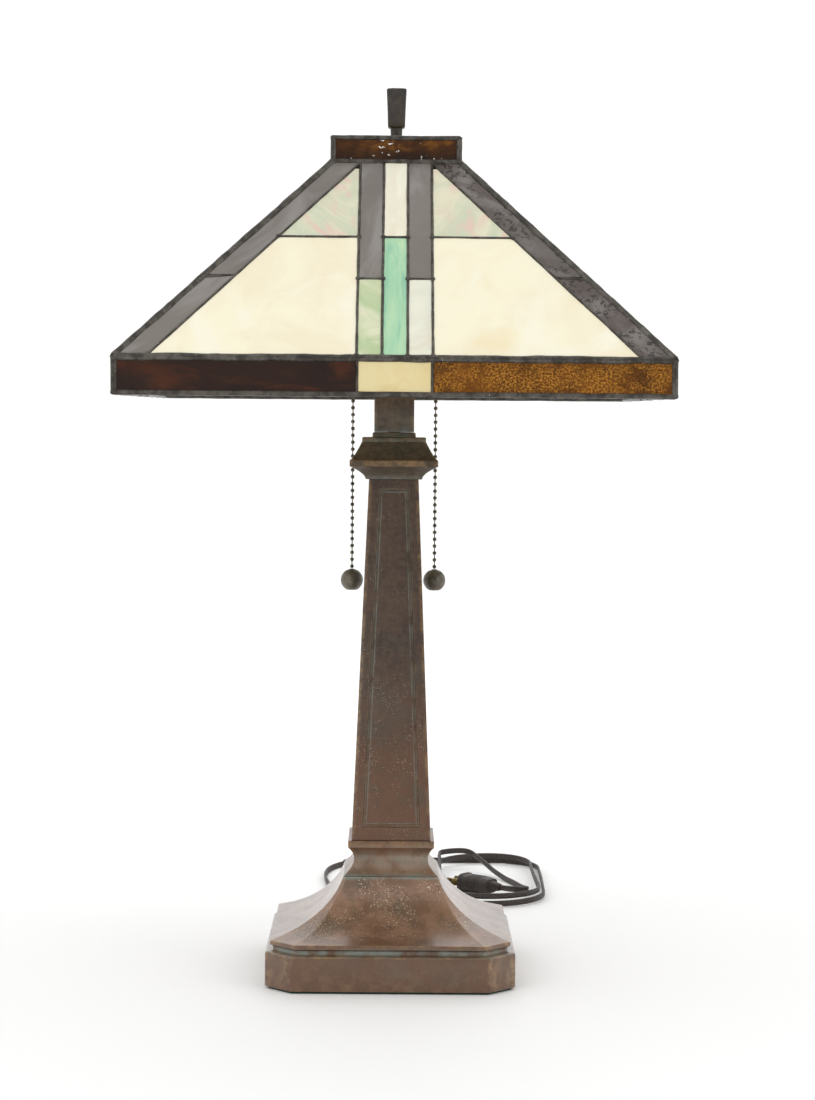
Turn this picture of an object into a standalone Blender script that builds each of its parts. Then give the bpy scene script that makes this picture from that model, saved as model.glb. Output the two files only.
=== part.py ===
"""Stained glass table lamp: a square leaded shade on a tapered square column.

Metres, +Z up. The origin is on the table under the middle of the stand; the front of the lamp
faces -Y. Every piece is one closed solid in its own object. Square castings are profiles turned
in four steps, round ones in many. The shade's rim, roof and crown share the values below with
the leads and the panes that fill them.
"""
import bmesh
import bpy
from math import cos, pi, radians, sin, sqrt
from mathutils import Matrix, Vector

# ---- fits -------------------------------------------------------------------------------
FIT = 0.0003                # gap between pieces that touch or seat on each other
GLASS_FIT = 0.0004          # gap between a pane and its lead
TURN_FIT = 0.0005           # gap round a piece that turns or slides

# ---- shade ------------------------------------------------------------------------------
RIM_HALF = 0.203            # half the width of the skirt
RIM_DROP = 0.0149           # how far the skirt's lower edge hangs below the lamp cluster
SKIRT_HEIGHT = 0.0287
ROOF_RISE = 0.1535          # height of the sloping roof
CROWN_HALF = 0.0505         # half the width of the square crown
CROWN_HEIGHT = 0.0198
CAME_DEPTH = 0.005          # thickness of the lead work
GLASS = 0.003               # thickness of a pane
BAND_HALF = 0.0275          # half the width of the striped band down the middle of a face
CAME = 0.003                # width of a lead line
HIP_CAME = 0.0038           # lead left on each side of a hip or a corner
SKIRT_TOP_CAME = 0.0050
SKIRT_BOTTOM_CAME = 0.0030
CAP_THICK = 0.002
CAP_DROP = 0.0014           # how far the cap plate sits below the crown's upper edge
VENT_RADIUS = 0.0035
VENT_CIRCLE = 0.026         # distance of the vent holes from the middle of the cap
WASHER_RADIUS = 0.0102
WASHER_RISE = 0.0036

# ---- finial -----------------------------------------------------------------------------
FINIAL_HEIGHT = 0.0401
FINIAL_NECK_RADIUS = 0.0048
FINIAL_NECK = 0.0085        # length of the round neck under the block
FINIAL_TOP_HALF = 0.0079
FINIAL_LOW_HALF = 0.0068

# ---- stand ------------------------------------------------------------------------------
FELT = 0.0015
PLINTH_HALF = 0.097
PLINTH_CLIP = 0.0203        # how much of each corner is clipped off
PLINTH_TOP_Z = 0.0290
FOOT_STEP = 0.0038          # how far the flared foot stands inside the plinth
FOOT_Z = 0.0368
FLARE_TOP_HALF = 0.0375
FLARE_TOP_CLIP = 0.0015
FLARE_TOP_Z = 0.0803
BASE_WALL = 0.0035
BASE_WEB = 0.010            # thickness of the casting round the pipe
WEIGHT_HEIGHT = 0.011
WEIGHT_HOLE = 0.030
COLLAR_WAIST_HALF = 0.0293
COLLAR_TOP_HALF = 0.034
COLLAR_HEIGHT = 0.0276
COLLAR_LEDGE = 0.0054
COLLAR_BORE_HALF = 0.0245
COLUMN_FOOT_HALF = 0.03125
COLUMN_TOP_HALF = 0.01965
COLUMN_TOP_Z = 0.3931
COLUMN_WALL = 0.0035
PANEL_DEPTH = 0.0018
PANEL_SIDE = 0.008
PANEL_LOW = 0.010
PANEL_HIGH = 0.007
CAPITAL_COVE_HALF = 0.0223
CAPITAL_LIP_HALF = 0.0348
CAPITAL_STEP_HALF = 0.0252
CAPITAL_TOP_HALF = 0.0170
CAPITAL_COVE = 0.0103       # height of the cove under the lip
CAPITAL_LIP = 0.0050
CAPITAL_SLOPE = 0.0142
CAPITAL_STEP = 0.0035
CAPITAL_CAP = 0.0040
CAPITAL_WEB = 0.005         # thickness of the capital's top round the pipe
CAPITAL_BORE_HALF = 0.0125
NECK_HALF = 0.0158
NECK_HEIGHT = 0.0410
NECK_WALL = 0.0015
PIPE_RADIUS = 0.005
PIPE_BORE = 0.0038
LEAD_RADIUS = 0.0024        # the insulated lead inside the stand
NUT_RADIUS = 0.0098
NUT_HEIGHT = 0.006
RISER_RADIUS = 0.0031
RISER_SHOULDER = 0.0080
RISER_SHOULDER_HEIGHT = 0.004

# ---- lights -----------------------------------------------------------------------------
CLUSTER_RADIUS = 0.0140
CLUSTER_HEIGHT = 0.024
SOCKET_START = 0.020        # distance of a socket's seat from the middle
SOCKET_TILT = radians(15)
SOCKET_STEM_RADIUS = 0.0065
SOCKET_STEM = 0.009
SOCKET_RADIUS = 0.0170
SOCKET_LENGTH = 0.048
SOCKET_WALL = 0.0026
BULB_BASE_RADIUS = 0.0132
BULB_BASE = 0.026
BULB_RADIUS = 0.024
BULB_LENGTH = 0.089
BULB_WALL = 0.0009

# ---- pull chains ------------------------------------------------------------------------
CHAIN_X = 0.0335
CHAIN_Y = 0.0385
MOUTH_RADIUS = 0.0042
MOUTH_BORE = 0.0027
MOUTH_HEIGHT = 0.013
MOUTH_ARM_RADIUS = 0.0028
LINK_RADIUS = 0.0019
LINK_LENGTH = 0.012
BEAD_RADIUS = 0.0016
BEAD_WIRE = 0.00045
BEAD_PITCH = 0.0054
BEAD_COUNT = 30
BALL_RADIUS = 0.0091

# ---- cord -------------------------------------------------------------------------------
CORD_RADIUS = 0.0027        # half the width of the flat twin cord
CORD_Z = 0.0136             # height of the hole in the back of the plinth
BUSHING_RADIUS = 0.0046
BUSHING_FLANGE = 0.0066
BUSHING_FLANGE_THICK = 0.0018
SLEEVE = 0.022              # length of the tapered sleeve outside the plinth
SLEEVE_END_RADIUS = 0.0040
HANK_X, HANK_Y = 0.0915, 0.367
HANK_HALF_X = 0.0535
HANK_HALF_Y = 0.118
HANK_BAND = 0.0125          # width of the bundle of turns
HANK_HEIGHT = 0.0125
PLUG_LENGTH = 0.034
PLUG_WIDTH = 0.022
PLUG_HEIGHT = 0.017
PLUG_X, PLUG_Y = 0.0675, 0.3320     # middle of the face that the blades stand in
PLUG_TURN = radians(-40)
PLUG_RELIEF = 0.010
PLUG_RELIEF_RADIUS = 0.0036
BLADE_LENGTH = 0.0190
BLADE_ROOT = 0.004          # how far a blade is seated in the plug
BLADE_WIDTH = 0.0063
BLADE_THICK = 0.0015
BLADE_SPACING = 0.0127

# Points of the free cord, chosen by hand: out of the sleeve, down to the table, round a loose
# loop behind the stand, past the hank, over its far end and round into the plug inside it.
CORD_ROUTE = (
    (0.0000, 0.0940, 0.0136), (0.0000, 0.1060, 0.0136), (0.0000, 0.1180, 0.0135),
    (-0.0010, 0.1320, 0.0118), (-0.0035, 0.1480, 0.0080), (-0.0080, 0.1660, 0.0044),
    (-0.0145, 0.1880, 0.0029), (-0.0235, 0.2160, 0.0028), (-0.0340, 0.2480, 0.0028),
    (-0.0445, 0.2840, 0.0028), (-0.0535, 0.3220, 0.0028), (-0.0600, 0.3600, 0.0028),
    (-0.0625, 0.3960, 0.0028), (-0.0590, 0.4280, 0.0028), (-0.0475, 0.4540, 0.0028),
    (-0.0290, 0.4720, 0.0030), (-0.0060, 0.4820, 0.0045), (0.0180, 0.4850, 0.0085),
    (0.0400, 0.4815, 0.0142), (0.0590, 0.4690, 0.0170), (0.0740, 0.4520, 0.0168),
    (0.0870, 0.4310, 0.0125), (0.0985, 0.4080, 0.0060), (0.1085, 0.3830, 0.0030),
    (0.1165, 0.3590, 0.0028), (0.1225, 0.3365, 0.0030), (0.1262, 0.3180, 0.0050),
    (0.1262, 0.3070, 0.0068), (0.1223, 0.2988, 0.0080), (0.1155, 0.2958, 0.0087),
    (0.1080, 0.2980, 0.0088), (0.10143, 0.30352, 0.0088),
)

# ---- worked out from the values above -----------------------------------------------------
FOOT_HALF = PLINTH_HALF - FOOT_STEP
BASE_Z = FELT + FIT
COLLAR_Z = FLARE_TOP_Z + FIT
COLUMN_Z = COLLAR_Z + COLLAR_HEIGHT + FIT
CAPITAL_Z = COLUMN_TOP_Z + FIT
CAPITAL_TOP_Z = (CAPITAL_Z + CAPITAL_COVE + CAPITAL_LIP + CAPITAL_SLOPE
                 + CAPITAL_STEP + CAPITAL_CAP)
NECK_Z = CAPITAL_TOP_Z + FIT
CLUSTER_Z = NECK_Z + NECK_HEIGHT + FIT
CLUSTER_MID_Z = CLUSTER_Z + CLUSTER_HEIGHT / 2
PIPE_HOLE = PIPE_RADIUS + FIT
PIPE_TOP_Z = CLUSTER_Z + CLUSTER_HEIGHT * 0.75
PIPE_Z = FLARE_TOP_Z - BASE_WEB - NUT_HEIGHT - 0.005
MOUTH_Z = CLUSTER_MID_Z + (CHAIN_X - SOCKET_START) * sin(SOCKET_TILT) / cos(SOCKET_TILT)
RIM_Z = CLUSTER_Z - RIM_DROP
EAVE_Z = RIM_Z + SKIRT_HEIGHT
CROWN_Z = EAVE_Z + ROOF_RISE
CROWN_TOP_Z = CROWN_Z + CROWN_HEIGHT
CAP_TOP_Z = CROWN_TOP_Z - CAP_DROP
CAP_Z = CAP_TOP_Z - CAP_THICK
ROOF_LENGTH = sqrt((RIM_HALF - CROWN_HALF) ** 2 + ROOF_RISE ** 2)
WASHER_Z = CAP_TOP_Z + FIT
FINIAL_Z = WASHER_Z + WASHER_RISE + FIT
FINIAL_TOP_Z = FINIAL_Z + FINIAL_HEIGHT
SQUARE = sqrt(2)            # a square's corner lies this much further out than its side
SIDES = {"front": 0.0, "right": pi / 2, "back": pi, "left": -pi / 2}


def empty_file():
    """Take out whatever the file starts with."""
    for thing in list(bpy.data.objects):
        bpy.data.objects.remove(thing, do_unlink=True)


def new_collection(name):
    collection = bpy.data.collections.new(name)
    bpy.context.scene.collection.children.link(collection)
    return collection


def finish(name, colour, roughness, metallic=0.0):
    """One plain finish: colour, roughness and metallic value of a Principled BSDF."""
    material = bpy.data.materials.new(name)
    material.use_nodes = True
    shader = material.node_tree.nodes["Principled BSDF"]
    shader.inputs["Base Color"].default_value = (*colour, 1.0)
    shader.inputs["Roughness"].default_value = roughness
    shader.inputs["Metallic"].default_value = metallic
    return material


empty_file()
PARTS = new_collection("stained_glass_table_lamp")
CUTTERS = new_collection("cutters")
BRONZE = finish("aged_bronze", (0.085, 0.060, 0.042), 0.45, 0.8)
DARK_BRONZE = finish("dark_bronze", (0.045, 0.040, 0.036), 0.40, 0.8)
LEAD = finish("dark_lead", (0.070, 0.065, 0.057), 0.50, 0.7)
BRASS = finish("brass", (0.45, 0.36, 0.13), 0.30, 1.0)
STEEL = finish("zinc_plated_steel", (0.45, 0.46, 0.47), 0.35, 1.0)
IRON = finish("cast_iron", (0.05, 0.05, 0.05), 0.70, 0.6)
FELT_GREEN = finish("green_felt", (0.02, 0.05, 0.03), 0.95)
CORD_BROWN = finish("brown_cord", (0.085, 0.055, 0.045), 0.45)
BULB_WHITE = finish("frosted_glass", (0.85, 0.85, 0.82), 0.35)
AMBER = finish("amber_glass", (0.31, 0.12, 0.02), 0.15)
DARK_AMBER = finish("dark_amber_glass", (0.10, 0.035, 0.010), 0.15)
BROWN_GLASS = finish("brown_glass", (0.075, 0.040, 0.025), 0.12)
CREAM_GLASS = finish("cream_glass", (0.86, 0.80, 0.66), 0.18)
TEAL_GLASS = finish("teal_glass", (0.30, 0.60, 0.48), 0.18)


def place(name, data, material=None, collection=None):
    """Put data into the scene as an object; the default is a part of the lamp."""
    thing = bpy.data.objects.new(name, data)
    (collection or PARTS).objects.link(thing)
    if material:
        data.materials.append(material)
    if collection is CUTTERS:
        thing.hide_render = True
        thing.display_type = "WIRE"
    return thing


def turned(name, profile, material, steps, closed=False, collection=None):
    """Turn a profile of (radius, height) points round Z.

    An open profile starts and ends on the axis. It runs up the inside and down the outside.
    """
    mesh = bpy.data.meshes.new(name)
    points = [(radius, 0.0, height) for radius, height in profile]
    edges = [(i, i + 1) for i in range(len(points) - 1)]
    if closed:
        edges.append((len(points) - 1, 0))
    mesh.from_pydata(points, edges, [])
    thing = place(name, mesh, material, collection)
    screw = thing.modifiers.new("turn", "SCREW")
    screw.steps = screw.render_steps = steps
    screw.use_merge_vertices = True
    screw.merge_threshold = 0.00002
    screw.use_smooth_shade = steps > 4
    return thing


def square_turned(name, profile, material, closed=False, collection=None):
    """A square piece: the profile gives half the width across the flats at each height."""
    corners = [(half * SQUARE, height) for half, height in profile]
    thing = turned(name, corners, material, 4, closed, collection)
    thing.rotation_euler.z = pi / 4
    return thing


def cut(thing, cutter, operation="DIFFERENCE"):
    boolean = thing.modifiers.new(operation.lower(), "BOOLEAN")
    boolean.operation = operation
    boolean.solver = "EXACT"
    boolean.object = cutter
    return thing


def cylinder_cutter(name, radius, start, end, sides=16):
    """A round cutter or boss between two points."""
    start, end = Vector(start), Vector(end)
    mesh = bpy.data.meshes.new(name)
    shape = bmesh.new()
    bmesh.ops.create_cone(shape, cap_ends=True, segments=sides, radius1=radius, radius2=radius,
                          depth=(end - start).length)
    shape.to_mesh(mesh)
    shape.free()
    thing = place(name, mesh, collection=CUTTERS)
    thing.rotation_mode = "QUATERNION"
    thing.rotation_quaternion = (end - start).to_track_quat("Z", "Y")
    thing.location = (start + end) / 2
    return thing


def prism(name, outlines, low, high, matrix, material=None, collection=None):
    """Straight-sided blocks: each outline in the XY plane of matrix, between two heights."""
    shape = bmesh.new()
    for outline in outlines:
        face = shape.faces.new([shape.verts.new((x, y, low)) for x, y in outline])
        grown = bmesh.ops.extrude_face_region(shape, geom=[face])
        raised = [v for v in grown["geom"] if isinstance(v, bmesh.types.BMVert)]
        bmesh.ops.translate(shape, vec=(0.0, 0.0, high - low), verts=raised)
    bmesh.ops.recalc_face_normals(shape, faces=shape.faces)
    mesh = bpy.data.meshes.new(name)
    shape.to_mesh(mesh)
    shape.free()
    thing = place(name, mesh, material, collection)
    thing.matrix_world = matrix
    return thing


def plate(name, outline, thickness, matrix, material):
    """A flat plate whose middle plane is the XY plane of matrix."""
    curve = bpy.data.curves.new(name, "CURVE")
    curve.dimensions = "2D"
    curve.fill_mode = "BOTH"
    curve.extrude = thickness / 2
    spline = curve.splines.new("POLY")
    spline.points.add(len(outline) - 1)
    for point, (x, y) in zip(spline.points, outline):
        point.co = (x, y, 0.0, 1.0)
    spline.use_cyclic_u = True
    thing = place(name, curve, material)
    thing.matrix_world = matrix
    return thing


def round_bar(name, points, radius, material, resolution=2):
    """A bar, lead or cord along its points."""
    curve = bpy.data.curves.new(name, "CURVE")
    curve.dimensions = "3D"
    curve.bevel_depth = radius
    curve.bevel_resolution = resolution
    curve.use_fill_caps = True
    spline = curve.splines.new("POLY")
    spline.points.add(len(points) - 1)
    for point, place_ in zip(spline.points, points):
        point.co = (*place_, 1.0)
    return place(name, curve, material)


def smooth_path(points, step):
    """Points about a step apart on the smooth curve through the given ones (Catmull-Rom)."""
    points = [Vector(p) for p in points]
    ends = [points[0] * 2 - points[1]] + points + [points[-1] * 2 - points[-2]]
    path = [points[0]]
    for a, b, c, d in zip(ends, ends[1:], ends[2:], ends[3:]):
        count = max(1, round((c - b).length / step))
        for i in range(1, count + 1):
            t = i / count
            path.append(0.5 * (2 * b + (c - a) * t + (2 * a - 5 * b + 4 * c - d) * t * t
                               + (3 * b - a - 3 * c + d) * t * t * t))
    return path


def inset(outline, margins):
    """Move each edge of a convex outline, taken anticlockwise, inwards by its own margin."""
    lines = []
    for i, corner in enumerate(outline):
        along = (Vector(outline[(i + 1) % len(outline)]) - Vector(corner)).normalized()
        inward = Vector((-along.y, along.x))
        lines.append((Vector(corner) + inward * margins[i], along))
    corners = []
    for (p, d), (q, e) in zip([lines[-1]] + lines[:-1], lines):
        corners.append(tuple(p + d * ((q - p).cross(e) / d.cross(e))))
    return corners


def face_frame(turn, low_half, low_z, high_half, high_z, depth=0.0):
    """Frame of one flat side of a square piece: X along it, Y up it, Z out of it.

    Its origin is the middle of the lower edge, moved in by depth.
    """
    rise = Vector((0.0, low_half - high_half, high_z - low_z)).normalized()
    across = Vector((1.0, 0.0, 0.0))
    out = across.cross(rise)
    origin = Vector((0.0, -low_half, low_z)) - out * depth
    frame = Matrix((across, rise, out)).transposed().to_4x4()
    frame.translation = origin
    return Matrix.Rotation(turn, 4, "Z") @ frame


def arc(centre, radius, first, last, count):
    """Points on an arc, angles in degrees from +X."""
    steps = [first + (last - first) * i / count for i in range(count + 1)]
    return [(centre[0] + radius * cos(radians(a)), centre[1] + radius * sin(radians(a)))
            for a in steps]


# ---- stand --------------------------------------------------------------------------------
def clipped_square(half, clip):
    """A square with its corners clipped off, anticlockwise."""
    quarter = [(half, half - clip), (half - clip, half)]
    turns = [(1, 0), (0, 1), (-1, 0), (0, -1)]
    return [(x * c - y * s, x * s + y * c) for c, s in turns for x, y in quarter]


def flare(z):
    """Half the width and the corner clip of the flared foot at a height."""
    t = (FLARE_TOP_Z - z) / (FLARE_TOP_Z - FOOT_Z)
    spread = 0.26 * t + 0.54 * t ** 2.1 + 0.20 * t ** 7     # slow at the top, fast at the foot
    half = FLARE_TOP_HALF + (FOOT_HALF - FLARE_TOP_HALF) * spread
    clip = FLARE_TOP_CLIP + (PLINTH_CLIP - FOOT_STEP * 0.3 - FLARE_TOP_CLIP) * t ** 2.2
    return half, clip


def loft(name, sections, material, collection=None):
    """Skin between clipped squares of (half width, clip, height), from the bottom up."""
    shape = bmesh.new()
    rings = []
    for half, clip, z in sections:
        rings.append([shape.verts.new((x, y, z)) for x, y in clipped_square(half, clip)])
    for low, high in zip(rings, rings[1:]):
        for i in range(len(low)):
            j = (i + 1) % len(low)
            shape.faces.new((low[i], low[j], high[j], high[i]))
    shape.faces.new(list(reversed(rings[0])))
    shape.faces.new(rings[-1])
    mesh = bpy.data.meshes.new(name)
    shape.to_mesh(mesh)
    shape.free()
    return place(name, mesh, material, collection)


def base_casting():
    """The hollow clipped-square foot: plinth, groove, ledge and concave flare."""
    edge = 0.0015
    groove = 0.0022
    steps = 9
    outer = [(PLINTH_HALF, PLINTH_CLIP, BASE_Z),
             (PLINTH_HALF, PLINTH_CLIP, PLINTH_TOP_Z - edge),
             (PLINTH_HALF - edge, PLINTH_CLIP - edge * 0.6, PLINTH_TOP_Z),
             (FOOT_HALF - groove, PLINTH_CLIP - groove, PLINTH_TOP_Z + 0.0004),
             (FOOT_HALF - groove, PLINTH_CLIP - groove, FOOT_Z - 0.0040),
             (FOOT_HALF, flare(FOOT_Z)[1], FOOT_Z - 0.0030)]
    inner = [(PLINTH_HALF - BASE_WALL, PLINTH_CLIP - BASE_WALL * 0.4, -BASE_Z),
             (PLINTH_HALF - BASE_WALL, PLINTH_CLIP - BASE_WALL * 0.4,
              PLINTH_TOP_Z - BASE_WALL)]
    ceiling = FLARE_TOP_Z - BASE_WEB
    for i in range(steps + 1):
        z = FOOT_Z + (FLARE_TOP_Z - FOOT_Z) * i / steps
        outer.append((*flare(z), z))
    for i in range(4):
        z = FOOT_Z - 0.004 + (ceiling - FOOT_Z + 0.004) * i / 3
        half, clip = flare(max(z, FOOT_Z))
        inner.append((half - BASE_WALL * 1.4, clip, z))
    body = loft("base_casting", outer, BRONZE)
    cut(body, loft("base_hollow", inner, None, CUTTERS))
    cut(body, cylinder_cutter("base_pipe_hole", PIPE_HOLE, (0, 0, ceiling - 0.01),
                              (0, 0, FLARE_TOP_Z + 0.01)))
    cut(body, cylinder_cutter("base_cord_hole", BUSHING_RADIUS + FIT,
                              (0, PLINTH_HALF - BASE_WALL * 2, CORD_Z),
                              (0, PLINTH_HALF + 0.01, CORD_Z)))


def base_fill():
    """Felt under the foot, the iron weight inside it and the nut that holds the pipe."""
    felt_edge = 0.003
    plate("felt_pad", clipped_square(PLINTH_HALF - felt_edge, PLINTH_CLIP - felt_edge * 0.6),
          FELT, Matrix.Translation((0, 0, FELT / 2)), FELT_GREEN)
    weight_half = PLINTH_HALF - BASE_WALL - 0.003
    bottom = BASE_Z
    weight = prism("base_weight", [clipped_square(weight_half, PLINTH_CLIP - 0.002)],
                   bottom, bottom + WEIGHT_HEIGHT, Matrix(), IRON)
    cut(weight, cylinder_cutter("weight_hole", WEIGHT_HOLE, (0, 0, -0.01),
                                (0, 0, WEIGHT_HEIGHT + 0.02), 24))
    slot = [(-0.0055, WEIGHT_HOLE * 0.8), (0.0055, WEIGHT_HOLE * 0.8),
            (0.0055, weight_half + 0.01), (-0.0055, weight_half + 0.01)]
    cut(weight, prism("weight_slot", [slot], -0.01, WEIGHT_HEIGHT + 0.02, Matrix(),
                      collection=CUTTERS))
    top = FLARE_TOP_Z - BASE_WEB - FIT
    hexagon = [(NUT_RADIUS * cos(pi * k / 3), NUT_RADIUS * sin(pi * k / 3)) for k in range(6)]
    nut = prism("foot_nut", [hexagon], top - NUT_HEIGHT, top, Matrix(), STEEL)
    cut(nut, cylinder_cutter("nut_hole", PIPE_HOLE, (0, 0, top - NUT_HEIGHT - 0.01),
                             (0, 0, top + 0.01)))


def column_pieces():
    """Scotia collar, hollow panelled column, capital and the square tube above it."""
    ledge_z = COLLAR_HEIGHT - COLLAR_LEDGE
    scotia = []
    for i in range(7):
        t = i / 6
        low = (FLARE_TOP_HALF - COLLAR_WAIST_HALF) * max(0.0, 1 - t / 0.58) ** 2
        high = (COLLAR_TOP_HALF - COLLAR_WAIST_HALF) * max(0.0, (t - 0.58) / 0.42) ** 2
        scotia.append((COLLAR_WAIST_HALF + low + high, COLLAR_Z + ledge_z * t))
    outer = scotia + [(COLLAR_TOP_HALF, COLLAR_Z + COLLAR_HEIGHT)]
    inner = [(COLLAR_BORE_HALF, outer[0][1]), (COLLAR_BORE_HALF, outer[-1][1])]
    square_turned("column_collar", inner + outer[::-1], BRONZE, closed=True)

    column = square_turned("column", [
        (COLUMN_FOOT_HALF - COLUMN_WALL, COLUMN_Z), (COLUMN_TOP_HALF - COLUMN_WALL, COLUMN_TOP_Z),
        (COLUMN_TOP_HALF, COLUMN_TOP_Z), (COLUMN_FOOT_HALF, COLUMN_Z)], BRONZE, closed=True)
    height = sqrt((COLUMN_TOP_Z - COLUMN_Z) ** 2 + (COLUMN_FOOT_HALF - COLUMN_TOP_HALF) ** 2)
    side = [(-COLUMN_FOOT_HALF, 0), (COLUMN_FOOT_HALF, 0), (COLUMN_TOP_HALF, height),
            (-COLUMN_TOP_HALF, height)]
    panel = inset(side, (PANEL_LOW, PANEL_SIDE, PANEL_HIGH, PANEL_SIDE))
    for name, turn in SIDES.items():
        frame = face_frame(turn, COLUMN_FOOT_HALF, COLUMN_Z, COLUMN_TOP_HALF, COLUMN_TOP_Z)
        cut(column, prism(f"panel_{name}", [panel], -PANEL_DEPTH, PANEL_DEPTH, frame,
                          collection=CUTTERS))

    lip_z = CAPITAL_Z + CAPITAL_COVE
    slope_z = lip_z + CAPITAL_LIP
    step_z = slope_z + CAPITAL_SLOPE
    cap_z = step_z + CAPITAL_STEP
    cove = [(CAPITAL_COVE_HALF + (CAPITAL_LIP_HALF - CAPITAL_COVE_HALF) * (i / 5) ** 1.8,
             CAPITAL_Z + CAPITAL_COVE * i / 5) for i in range(6)]
    slope = [(CAPITAL_LIP_HALF - (CAPITAL_LIP_HALF - CAPITAL_STEP_HALF - 0.0005)
              * (i / 4) ** 0.8, slope_z + CAPITAL_SLOPE * i / 4) for i in range(5)]
    outer = cove + slope + [(CAPITAL_STEP_HALF, step_z), (CAPITAL_STEP_HALF, cap_z),
                            (CAPITAL_TOP_HALF, cap_z), (CAPITAL_TOP_HALF, CAPITAL_TOP_Z)]
    web_z = CAPITAL_TOP_Z - CAPITAL_WEB
    inner = [(CAPITAL_BORE_HALF, CAPITAL_Z), (CAPITAL_BORE_HALF, web_z), (PIPE_HOLE, web_z),
             (PIPE_HOLE, CAPITAL_TOP_Z)]
    square_turned("capital", inner + outer[::-1], BRONZE, closed=True)
    inside = NECK_HALF - NECK_WALL
    square_turned("neck_tube", [
        (inside, NECK_Z), (inside, NECK_Z + NECK_HEIGHT), (NECK_HALF, NECK_Z + NECK_HEIGHT),
        (NECK_HALF, NECK_Z)], DARK_BRONZE, closed=True)


def pipes():
    """The threaded pipe through the stand, the lead in it and the rod that carries the shade."""
    turned("lamp_pipe", [(PIPE_BORE, PIPE_Z), (PIPE_BORE, PIPE_TOP_Z), (PIPE_RADIUS, PIPE_TOP_Z),
                         (PIPE_RADIUS, PIPE_Z)], STEEL, 16, closed=True)
    start = CORD_ROUTE[0][1] - FIT
    rise = PIPE_Z - CORD_Z
    bend = [(0, start, CORD_Z), (0, start * 0.75, CORD_Z + rise * 0.02),
            (0, start * 0.42, CORD_Z + rise * 0.14), (0, start * 0.17, CORD_Z + rise * 0.38),
            (0, start * 0.03, CORD_Z + rise * 0.68), (0, 0, PIPE_Z - 0.003),
            (0, 0, PIPE_Z + 0.02)]
    round_bar("inner_lead", smooth_path(bend, 0.008) + [Vector((0, 0, PIPE_TOP_Z - 0.004))],
              LEAD_RADIUS, CORD_BROWN)
    foot_z = PIPE_TOP_Z + FIT
    shoulder = CAP_Z - FIT
    turned("shade_riser", [
        (0, FINIAL_Z + 0.010), (RISER_RADIUS, FINIAL_Z + 0.010), (RISER_RADIUS, shoulder),
        (RISER_SHOULDER, shoulder), (RISER_SHOULDER, shoulder - RISER_SHOULDER_HEIGHT),
        (RISER_RADIUS, shoulder - RISER_SHOULDER_HEIGHT - 0.003), (RISER_RADIUS, foot_z),
        (0, foot_z)], BRASS, 16)


# ---- lights -------------------------------------------------------------------------------
def socket_axis(side):
    return Vector((side * cos(SOCKET_TILT), 0.0, sin(SOCKET_TILT)))


def socket_frame(side):
    """Frame of a socket: Z along it, the origin at its seat on the cluster body."""
    seat = Vector((side * SOCKET_START, 0.0, CLUSTER_MID_Z))
    turn = socket_axis(side).to_track_quat("Z", "Y").to_matrix().to_4x4()
    return Matrix.Translation(seat) @ turn


def cluster():
    """The body on the pipe that carries both sockets, one short arm for each."""
    top = CLUSTER_Z + CLUSTER_HEIGHT
    edge = 0.002
    body = turned("cluster_body", [
        (0, top), (CLUSTER_RADIUS - edge, top), (CLUSTER_RADIUS, top - edge),
        (CLUSTER_RADIUS, CLUSTER_Z + edge), (CLUSTER_RADIUS - edge, CLUSTER_Z),
        (0, CLUSTER_Z)], BRASS, 20)
    for side, name in ((-1, "left"), (1, "right")):
        seat = Vector((side * SOCKET_START, 0.0, CLUSTER_MID_Z))
        arm_end = seat - socket_axis(side) * FIT
        inside = seat - socket_axis(side) * (SOCKET_START * 0.7)
        cut(body, cylinder_cutter(f"cluster_arm_{name}", SOCKET_STEM_RADIUS, inside, arm_end),
            "UNION")
    cut(body, cylinder_cutter("cluster_bore", PIPE_HOLE, (0, 0, CLUSTER_Z - 0.01),
                              (0, 0, top + 0.01)))


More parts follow.
